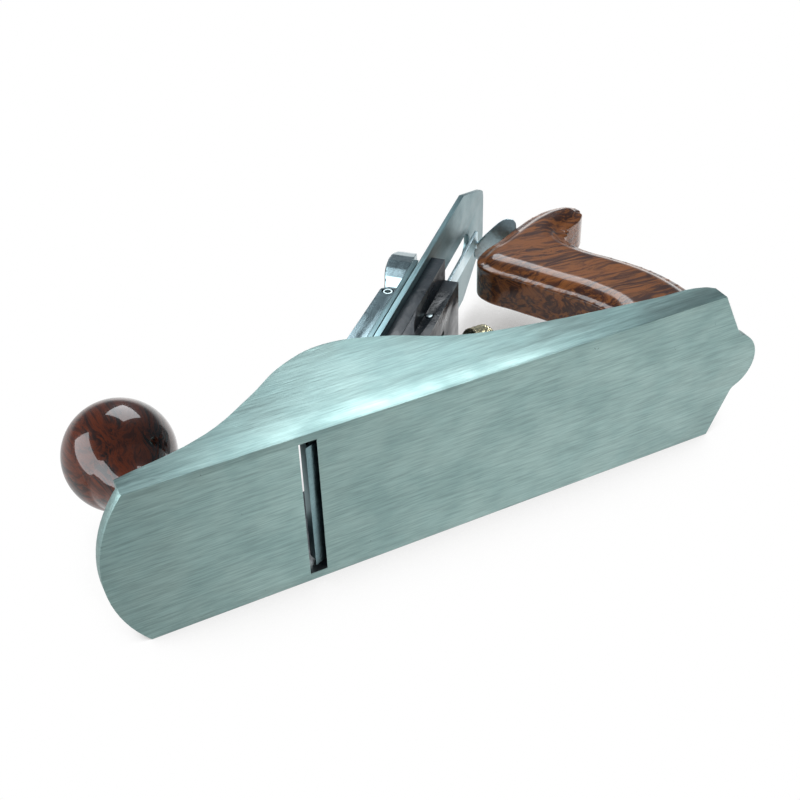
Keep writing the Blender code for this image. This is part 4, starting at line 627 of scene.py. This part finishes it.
class HANDPLANE_OT_stage(bpy.types.Operator):
    """Sets up the camera, the studio floors and the soft lights"""
    bl_idname = "hand_plane.stage"
    bl_label = "Stage"

    def execute(self, context):
        scene = context.scene
        camera = bpy.data.objects.new("camera", bpy.data.cameras.new("camera"))
        scene.collection.objects.link(camera)
        camera.rotation_mode = "QUATERNION"
        camera.rotation_quaternion = Quaternion((0.2137635, -0.0862702, 0.9223690, 0.3099970))
        camera.location = (0.156871, 0.273282, -0.283198)
        camera.data.lens = 56.30486
        camera.data.sensor_width = 36
        camera.data.clip_start, camera.data.clip_end = 0.01, 20
        scene.camera = camera

        lit_floor("lying_floor", (0, -HALF_WIDTH - FLOOR_GAP, 0), (-pi / 2, 0, 0))
        lit_floor("standing_floor", (0, 0, -FLOOR_GAP), (0, 0, 0))
        softbox("toe_softbox", (0.93, 0.33, -0.05), distance=0.60, width=0.40, height=0.95, radiance=4.6,
                long_way=(0.07, 0.42, 0.91))
        softbox("top_softbox", (-0.375, 0.72, 0.58), distance=0.70, width=0.46, height=0.42, radiance=5.2,
                long_way=(-0.7, -0.6, 0.3))

        world = bpy.data.worlds.new("studio")
        scene.world = world
        world.use_nodes = True
        tree = world.node_tree
        back = tree.nodes["Background"]
        way = node(tree, "ShaderNodeSeparateXYZ", {0: node(tree, "ShaderNodeTexCoord").outputs["Generated"]})
        floor_side = remap(tree, way.outputs[1], 0.14, -0.12)
        lying = remap(tree, way.outputs[0], 0.10, -0.36, 0.62, 1.16)
        lying = node(tree, "ShaderNodeCombineXYZ", {0: lying, 1: lying, 2: lying}).outputs[0]
        room = blend_colours(tree, floor_side, (0.17, 0.19, 0.21), lying)
        camera_ray = node(tree, "ShaderNodeLightPath").outputs["Is Camera Ray"]
        tree.links.new(blend_colours(tree, camera_ray, room, (1.0, 1.0, 1.0)), back.inputs["Color"])
        scene.view_settings.view_transform = "Standard"
        return {"FINISHED"}


# ================================================================ castings
class HANDPLANE_OT_body_casting(bpy.types.Operator):
    """Makes the body casting, ground outside and japanned inside"""
    bl_idname = "hand_plane.body_casting"
    bl_label = "Body Casting"

    def execute(self, context):
        piece = worked_copy("body_casting", "base", ["ground_iron", "japanned_casting"],
                            sizes().arris)
        inner = HALF_WIDTH - CHEEK + 0.05 * MM
        for face in piece.data.polygons:
            middle = face.center
            inside = abs(middle.y) < inner and middle.z > FLOOR - 0.15 * MM
            face.material_index = 1 if inside else 0
        return {"FINISHED"}


class HANDPLANE_OT_frog(bpy.types.Operator):
    """Makes the frog with its machined seat and its small fittings"""
    bl_idname = "hand_plane.frog"
    bl_label = "Frog"

    def execute(self, context):
        piece = worked_copy("frog", "frog", ["japanned_frog", "machined_frog"],
                            sizes().cast_arris * 0.7)
        to_bed = BED.inverted()
        for face in piece.data.polygons:
            if (to_bed @ face.center).z > -0.1 * MM:
                face.material_index = 1
        for source, body in (("frog_clip", "frog"), ("frog_clip_screw", "frog"), ("frog_screw_left", "base"),
                             ("frog_screw_right", "base"), ("frog_washer_left", "base"),
                             ("frog_washer_right", "base"), ("frog_adjust_screw", "frog_adjuster")):
            worked_copy(source, body, ["bright_steel"], sizes().arris * 0.6)
        return {"FINISHED"}


# ================================================================ adjusters
class HANDPLANE_OT_depth_adjuster(bpy.types.Operator):
    """Makes the threaded stud, the knurled wheel and the yoke"""
    bl_idname = "hand_plane.depth_adjuster"
    bl_label = "Depth Adjuster"

    def make_stud(self):
        low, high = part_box("depth_stud")
        radius, length = (high.z - low.z) / 2, high.x - low.x
        pitch = sizes().thread_pitch
        rings = int(length / pitch * 6)
        profile = [(0, 0), (radius - 0.8 * MM, 0)]
        profile += [(radius, 0.8 * MM + (length - 1.6 * MM) * i / rings) for i in range(rings + 1)]
        profile += [(radius - 0.8 * MM, length), (0, length)]
        stud = turned_ring("depth_stud_threaded", profile, 32)
        points = read_points(stud.data)
        away = np.hypot(points[:, 0], points[:, 1])
        thread = away > radius - 0.1 * MM
        phase = (np.arctan2(points[:, 1], points[:, 0]) / (2 * pi) + points[:, 2] / pitch) % 1
        cut = np.where(thread, 0.62 * MM * (1 - np.abs(2 * phase - 1)), 0)
        share = np.where(away > 0, (away - cut) / np.maximum(away, 1e-9), 1)
        points[:, :2] *= share[:, None]
        write_points(stud.data, points)
        settle(stud, along_axis((high.x, 0, (low.z + high.z) / 2), (-1, 0, 0)))
        hand_over(stud, "depth_stud", ["depth_stud"], ["bright_steel"])

    def make_wheel(self):
        low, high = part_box("depth_wheel")
        radius, thick = (high.z - low.z) / 2, high.x - low.x
        rim, flange, groove = 7.0 * MM, 8.2 * MM, 1.8 * MM
        rim_front = thick - rim
        bore, neck = 3.7 * MM, 5.2 * MM
        across = 18
        rim_line = [(radius, rim_front + 0.7 * MM + (rim - 1.4 * MM) * i / across) for i in range(across + 1)]
        profile = [(bore, 0.3 * MM), (bore + 0.3 * MM, 0), (flange - 0.5 * MM, 0), (flange, 0.5 * MM),
                   (flange, groove - 0.3 * MM), (flange - 0.3 * MM, groove), (neck + 0.4 * MM, groove),
                   (neck, groove + 0.4 * MM), (neck, rim_front - 0.4 * MM), (neck + 0.4 * MM, rim_front),
                   (radius - 0.9 * MM, rim_front), (radius - 0.35 * MM, rim_front + 0.25 * MM)]
        profile += rim_line
        profile += [(radius - 0.35 * MM, thick - 0.25 * MM), (radius - 0.9 * MM, thick),
                    (radius - 1.6 * MM, thick - 0.1 * MM), (radius - 2.4 * MM, thick - 1.1 * MM),
                    (neck + 1.7 * MM, thick - 1.2 * MM), (neck + 0.9 * MM, thick - 0.7 * MM),
                    (neck + 0.3 * MM, thick), (bore + 0.4 * MM, thick), (bore, thick - 0.4 * MM)]
        knurls = sizes().knurls
        wheel = turned_ring("depth_wheel_knurled", profile, knurls * 6)
        points = read_points(wheel.data)
        away = np.hypot(points[:, 0], points[:, 1])
        on_rim = away > radius - 0.05 * MM
        turn = np.arctan2(points[:, 1], points[:, 0]) / (2 * pi) * knurls
        slant = points[:, 2] / (2 * pi * radius) * knurls
        one = np.abs(2 * ((turn + slant) % 1) - 1)
        from_front = points[:, 2] - rim_front - 0.7 * MM
        from_back = thick - 0.7 * MM - points[:, 2]
        ends = np.clip(np.minimum(from_front, from_back) / (0.5 * MM), 0, 1)
        cut = np.where(on_rim, sizes().knurl_depth * np.clip(one * 1.5 - 0.25, 0, 1) * (0.3 + 0.7 * ends), 0)
        points[:, :2] *= ((away - cut) / away)[:, None]
        write_points(wheel.data, points)
        settle(wheel, along_axis((high.x, 0, (low.z + high.z) / 2), (-1, 0, 0)))
        hand_over(wheel, "depth_wheel", ["depth_wheel"], ["brass"], 32)

    def execute(self, context):
        self.make_stud()
        self.make_wheel()
        worked_copy("yoke", "yoke", ["bright_steel"], sizes().arris)
        worked_copy("yoke_pin", "frog", ["bright_steel"], sizes().arris * 0.6)
        return {"FINISHED"}


class HANDPLANE_OT_lateral_adjuster(bpy.types.Operator):
    """Makes the lateral lever with its curled tab, its roller and rivets"""
    bl_idname = "hand_plane.lateral_adjuster"
    bl_label = "Lateral Adjuster"

    def execute(self, context):
        lever = cast_copy("lateral_lever", 0.32 * MM, 3)
        hand_over(lever, "lateral_lever", ["lateral_lever"], ["plated_lever"], 60)
        worked_copy("roller_rivet", "lateral_lever", ["bed_steel"], sizes().arris * 0.5)
        worked_copy("lateral_lever_rivet", "frog", ["bed_steel"], sizes().arris * 0.5)
        worked_copy("lateral_roller", "lateral_roller", ["bed_steel"], sizes().arris * 0.5)
        return {"FINISHED"}


# ================================================================ iron, chipbreaker and cap
class HANDPLANE_OT_irons(bpy.types.Operator):
    """Makes the cutting iron, the chipbreaker and the screw that joins them"""
    bl_idname = "hand_plane.irons"
    bl_label = "Iron and Chipbreaker"

    def execute(self, context):
        worked_copy("iron", "iron_set", ["iron_steel"], 0.12 * MM, 30)
        worked_copy("chipbreaker", "iron_set", ["breaker_steel"], 0.18 * MM, 30)
        worked_copy("chipbreaker_screw", "iron_carrier", ["bed_steel"], sizes().arris * 0.6)
        return {"FINISHED"}


class HANDPLANE_OT_lever_cap(bpy.types.Operator):
    """Makes the lever cap with its screw, spring, rivet and cam pin"""
    bl_idname = "hand_plane.lever_cap"
    bl_label = "Lever Cap"

    def execute(self, context):
        worked_copy("lever_cap", "lever_cap", ["plated_cap"], sizes().cast_arris, 34, 3)
        worked_copy("lever_cap_screw", "frog", ["bed_steel"], sizes().arris * 0.6)
        worked_copy("lever_cap_spring", "lever_cap", ["bed_steel"], 0.1 * MM)
        worked_copy("lever_cap_spring_rivet", "lever_cap", ["bed_steel"], sizes().arris * 0.4)
        worked_copy("cam_pin", "lever_cap", ["bed_steel"], sizes().arris * 0.4)
        return {"FINISHED"}


class HANDPLANE_OT_cam_lever(bpy.types.Operator):
    """Makes the dished cam lever with flowing cast edges"""
    bl_idname = "hand_plane.cam_lever"
    bl_label = "Cam Lever"

    def execute(self, context):
        lever = cast_copy("cam_lever", 0.36 * MM, 5)
        hand_over(lever, "cam_lever", ["cam_lever"], ["plated_cam"], 60)
        return {"FINISHED"}


# ================================================================ wood
class HANDPLANE_OT_knob(bpy.types.Operator):
    """Turns the lacquered front knob and makes its bolt and nut"""
    bl_idname = "hand_plane.knob"
    bl_label = "Knob"

    def execute(self, context):
        low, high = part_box("knob")
        middle = (low + high) / 2
        ball = (high.x - low.x) / 2
        flat = 7.0 * MM
        top = KNOB_CENTRE + sqrt(ball ** 2 - flat ** 2)
        start = acos(flat / ball)
        profile = [(6.3 * MM, top - 3.0 * MM), (6.3 * MM, top - 0.4 * MM), (6.6 * MM, top - 0.05 * MM)]
        profile += arc((0, KNOB_CENTRE), ball, start, radians(-44), 40)
        neck = profile[-1]
        profile += flowing([neck, (12.6 * MM, 39.6 * MM), (10.6 * MM, 35.0 * MM), (9.7 * MM, 30.0 * MM),
                            (9.7 * MM, 24.5 * MM), (10.7 * MM, 18.6 * MM), (12.3 * MM, 14.6 * MM),
                            (14.1 * MM, 12.2 * MM)], 6)[1:]
        profile += [(14.5 * MM, 11.4 * MM), (14.5 * MM, low.z + 0.6 * MM), (14.2 * MM, low.z),
                    (4.5 * MM, low.z), (4.5 * MM, top - 3.0 * MM)]
        knob = turned_ring("knob_turned", profile, 112)
        settle(knob, Matrix.Translation((middle.x, 0, 0)))
        hand_over(knob, "base", ["knob"], ["knob_wood"], 40)
        worked_copy("knob_nut", "base", ["brass"], sizes().arris * 0.6)
        worked_copy("knob_bolt", "base", ["bright_steel"], sizes().arris * 0.6)
        return {"FINISHED"}


# The tote's side view, from the front of its foot over the horn and down its back: x, z, and 1 on a curve.
TOTE_SIDE = (
    (-45.0, -8.0, 0), (-45.0, 12.5, 0), (-51.0, 15.5, 1), (-66.0, 18.0, 1), (-80.5, 25.5, 1),
    (-86.5, 37.0, 1), (-83.5, 50.0, 1), (-75.0, 64.5, 1), (-67.0, 78.0, 1), (-60.5, 89.5, 1),
    (-60.5, 96.5, 1), (-66.5, 102.5, 1), (-77.5, 107.5, 1), (-90.0, 113.7, 1), (-101.0, 118.2, 1),
    (-110.8, 119.7, 1), (-118.0, 117.6, 1), (-120.6, 112.2, 1), (-117.2, 106.9, 1), (-110.6, 103.2, 1),
    (-104.8, 100.6, 1), (-102.0, 96.2, 1), (-102.2, 89.8, 1), (-105.0, 82.4, 1), (-111.0, 72.6, 1),
    (-117.5, 60.0, 1), (-121.0, 48.0, 1), (-122.0, 32.0, 1), (-120.0, 16.0, 1), (-116.5, -8.0, 0))


class HANDPLANE_OT_tote(bpy.types.Operator):
    """Shapes the tote from a board by rounding its grip, and makes its nut and rod"""
    bl_idname = "hand_plane.tote"
    bl_label = "Tote"

    def outline_board(self, half):
        """A flat board with the tote's side view."""
        bpy.ops.object.select_all(action="DESELECT")
        bpy.ops.curve.primitive_bezier_circle_add(radius=10 * MM)
        board = bpy.context.view_layer.objects.active
        curve = board.data
        curve.dimensions = "2D"
        curve.fill_mode = "BOTH"
        curve.extrude = half
        spline = curve.splines[0]
        spline.resolution_u = 10
        spline.bezier_points.add(len(TOTE_SIDE) - len(spline.bezier_points))
        for point, (x, z, soft) in zip(spline.bezier_points, TOTE_SIDE):
            point.co = (x * MM, z * MM, 0)
            point.handle_left_type = point.handle_right_type = "AUTO" if soft else "VECTOR"
        bpy.ops.object.convert(target="MESH")
        board = name_piece(bpy.context.view_layer.objects.active, "tote_shaped")
        settle(board, Matrix.Rotation(pi / 2, 4, "X"))
        edit(board, (bpy.ops.mesh.remove_doubles, {"threshold": 0.000005}),
             (bpy.ops.mesh.normals_make_consistent, {"inside": False}))
        return board

    def round_over(self, board, line, half):
        """Rolls the board's square rim over, more at the grip than at the foot."""
        points = read_points(board.data)
        side = points[:, [0, 2]]
        start, step = line, np.roll(line, -1, 0) - line
        span = (step ** 2).sum(1)
        best = np.full(len(side), 1e9)
        near = np.zeros_like(side)
        for a, d, s in zip(start, step, span):
            if s < 1e-12:
                continue
            t = np.clip(((side - a) @ d) / s, 0, 1)
            foot = a + t[:, None] * d
            gap = np.hypot(*(side - foot).T)
            closer = gap < best
            best[closer] = gap[closer]
            near[closer] = foot[closer]
        across = np.abs(points[:, 1])
        rim = (best < 0.75 * MM) & (across < half - 0.5 * MM)
        best[rim] = 0.0
        inward = side - near
        size = np.hypot(*inward.T)
        height = points[:, 2]
        grip = np.clip((height - 12 * MM) / (26 * MM), 0, 1)
        grip = grip * grip * (3 - 2 * grip)
        radius = sizes().tote_foot_round + (sizes().tote_round - sizes().tote_foot_round) * grip
        thick = 3.0 * MM + (half - 3.2 * MM) * grip
        face = across > half - 0.45 * MM
        across = np.where(face, half, across)
        u = np.clip(1 - best / radius, 0, 1)
        v = np.clip((across - (half - thick)) / thick, 0, 1)
        k = np.where((u > 0) & (v > 0), np.maximum(u, v) / np.maximum(np.hypot(u, v), 1e-9), 1)
        deep = np.where(u > 0, radius * (1 - u * k), best)
        unit = inward / np.maximum(size, 1e-9)[:, None]
        moved = near + unit * deep[:, None]
        use_rim = size > 0.02 * MM
        points[:, 0] = np.where(use_rim, moved[:, 0], side[:, 0])
        points[:, 2] = np.where(use_rim, moved[:, 1], side[:, 1])
        points[:, 1] = np.sign(points[:, 1]) * np.where(v > 0, (half - thick) + thick * v * k, across)
        write_points(board.data, points)

    def execute(self, context):
        low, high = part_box("tote")
        half = (high.y - low.y) / 2
        board = self.outline_board(half)
        line = self.ring_order(board, half)
        apply_modifier(board, "REMESH", mode="VOXEL", voxel_size=0.8 * MM)
        self.round_over(board, line, half)
        apply_modifier(board, "SMOOTH", factor=0.5, iterations=6)
        only(board)
        bpy.ops.object.mode_set(mode="EDIT")
        bpy.ops.mesh.select_all(action="SELECT")
        bpy.ops.mesh.bisect(plane_co=(0, 0, low.z), plane_no=(0, 0, 1), use_fill=True, clear_inner=True)
        bpy.ops.object.mode_set(mode="OBJECT")
        lean = Vector((sin(TOTE_LEAN), 0, cos(TOTE_LEAN)))
        sunk, bore_length = 4.6 * MM, 16 * MM
        bpy.ops.object.select_all(action="DESELECT")
        bpy.ops.mesh.primitive_cylinder_add(vertices=64, radius=6.3 * MM, depth=bore_length)
        drill = bpy.context.view_layer.objects.active
        drill.matrix_world = along_axis(TOTE_ROD_HEAD + lean * (bore_length / 2 - sunk), lean)
        apply_modifier(board, "BOOLEAN", operation="DIFFERENCE", solver="EXACT", object=drill)
        bpy.data.objects.remove(drill, do_unlink=True)
        hand_over(board, "base", ["tote"], ["tote_wood"], 45)
        worked_copy("tote_nut", "base", ["brass"], sizes().arris * 0.6)
        worked_copy("tote_rod", "base", ["bright_steel"], sizes().arris * 0.6)
        return {"FINISHED"}

    def ring_order(self, board, half):
        """The board's side outline as points in order round it."""
        mesh = board.data
        keep = {v.index for v in mesh.vertices if v.co.y > half * 0.9}
        rim_edges = {}
        wall = set()
        for face in mesh.polygons:
            if abs(face.normal.y) < 0.5:
                ids = [i for i in face.vertices if i in keep]
                if len(ids) == 2:
                    wall.add(tuple(sorted(ids)))
        for a, b in wall:
            rim_edges.setdefault(a, []).append(b)
            rim_edges.setdefault(b, []).append(a)
        first = next(iter(rim_edges))
        ring, last, here = [first], None, first
        while True:
            ahead = [i for i in rim_edges[here] if i != last]
            if not ahead:
                break
            last, here = here, ahead[0]
            if here == first:
                break
            ring.append(here)
        return np.array([(mesh.vertices[i].co.x, mesh.vertices[i].co.z) for i in ring])


# ================================================================ panel and running
PIECE_OPERATORS = (
    HANDPLANE_OT_body_casting, HANDPLANE_OT_frog, HANDPLANE_OT_depth_adjuster, HANDPLANE_OT_lateral_adjuster,
    HANDPLANE_OT_irons, HANDPLANE_OT_lever_cap, HANDPLANE_OT_cam_lever, HANDPLANE_OT_knob, HANDPLANE_OT_tote)


class HANDPLANE_PT_panel(bpy.types.Panel):
    bl_label = "Hand Plane"
    bl_idname = "HANDPLANE_PT_panel"
    bl_space_type = "VIEW_3D"
    bl_region_type = "UI"
    bl_category = "Hand Plane"

    def draw(self, context):
        layout = self.layout
        for group in (context.scene.plane_sizes, context.scene.plane_colours):
            box = layout.box()
            for field in group.bl_rna.properties:
                if field.identifier not in ("rna_type", "name"):
                    box.prop(group, field.identifier)
        for operator in (HANDPLANE_OT_stage, *PIECE_OPERATORS):
            layout.operator(operator.bl_idname)


CLASSES = (PlaneSizes, PlaneColours, HANDPLANE_OT_stage, *PIECE_OPERATORS, HANDPLANE_PT_panel)


def register():
    for cls in CLASSES:
        bpy.utils.register_class(cls)
    bpy.types.Scene.plane_sizes = PointerProperty(type=PlaneSizes)
    bpy.types.Scene.plane_colours = PointerProperty(type=PlaneColours)


def unregister():
    del bpy.types.Scene.plane_colours
    del bpy.types.Scene.plane_sizes
    for cls in reversed(CLASSES):
        bpy.utils.unregister_class(cls)


def main():
    register()
    bpy.ops.hand_plane.stage()
    bpy.ops.hand_plane.body_casting()
    bpy.ops.hand_plane.frog()
    bpy.ops.hand_plane.depth_adjuster()
    bpy.ops.hand_plane.lateral_adjuster()
    bpy.ops.hand_plane.irons()
    bpy.ops.hand_plane.lever_cap()
    bpy.ops.hand_plane.cam_lever()
    bpy.ops.hand_plane.knob()
    bpy.ops.hand_plane.tote()


if __name__ == "__main__":
    main()
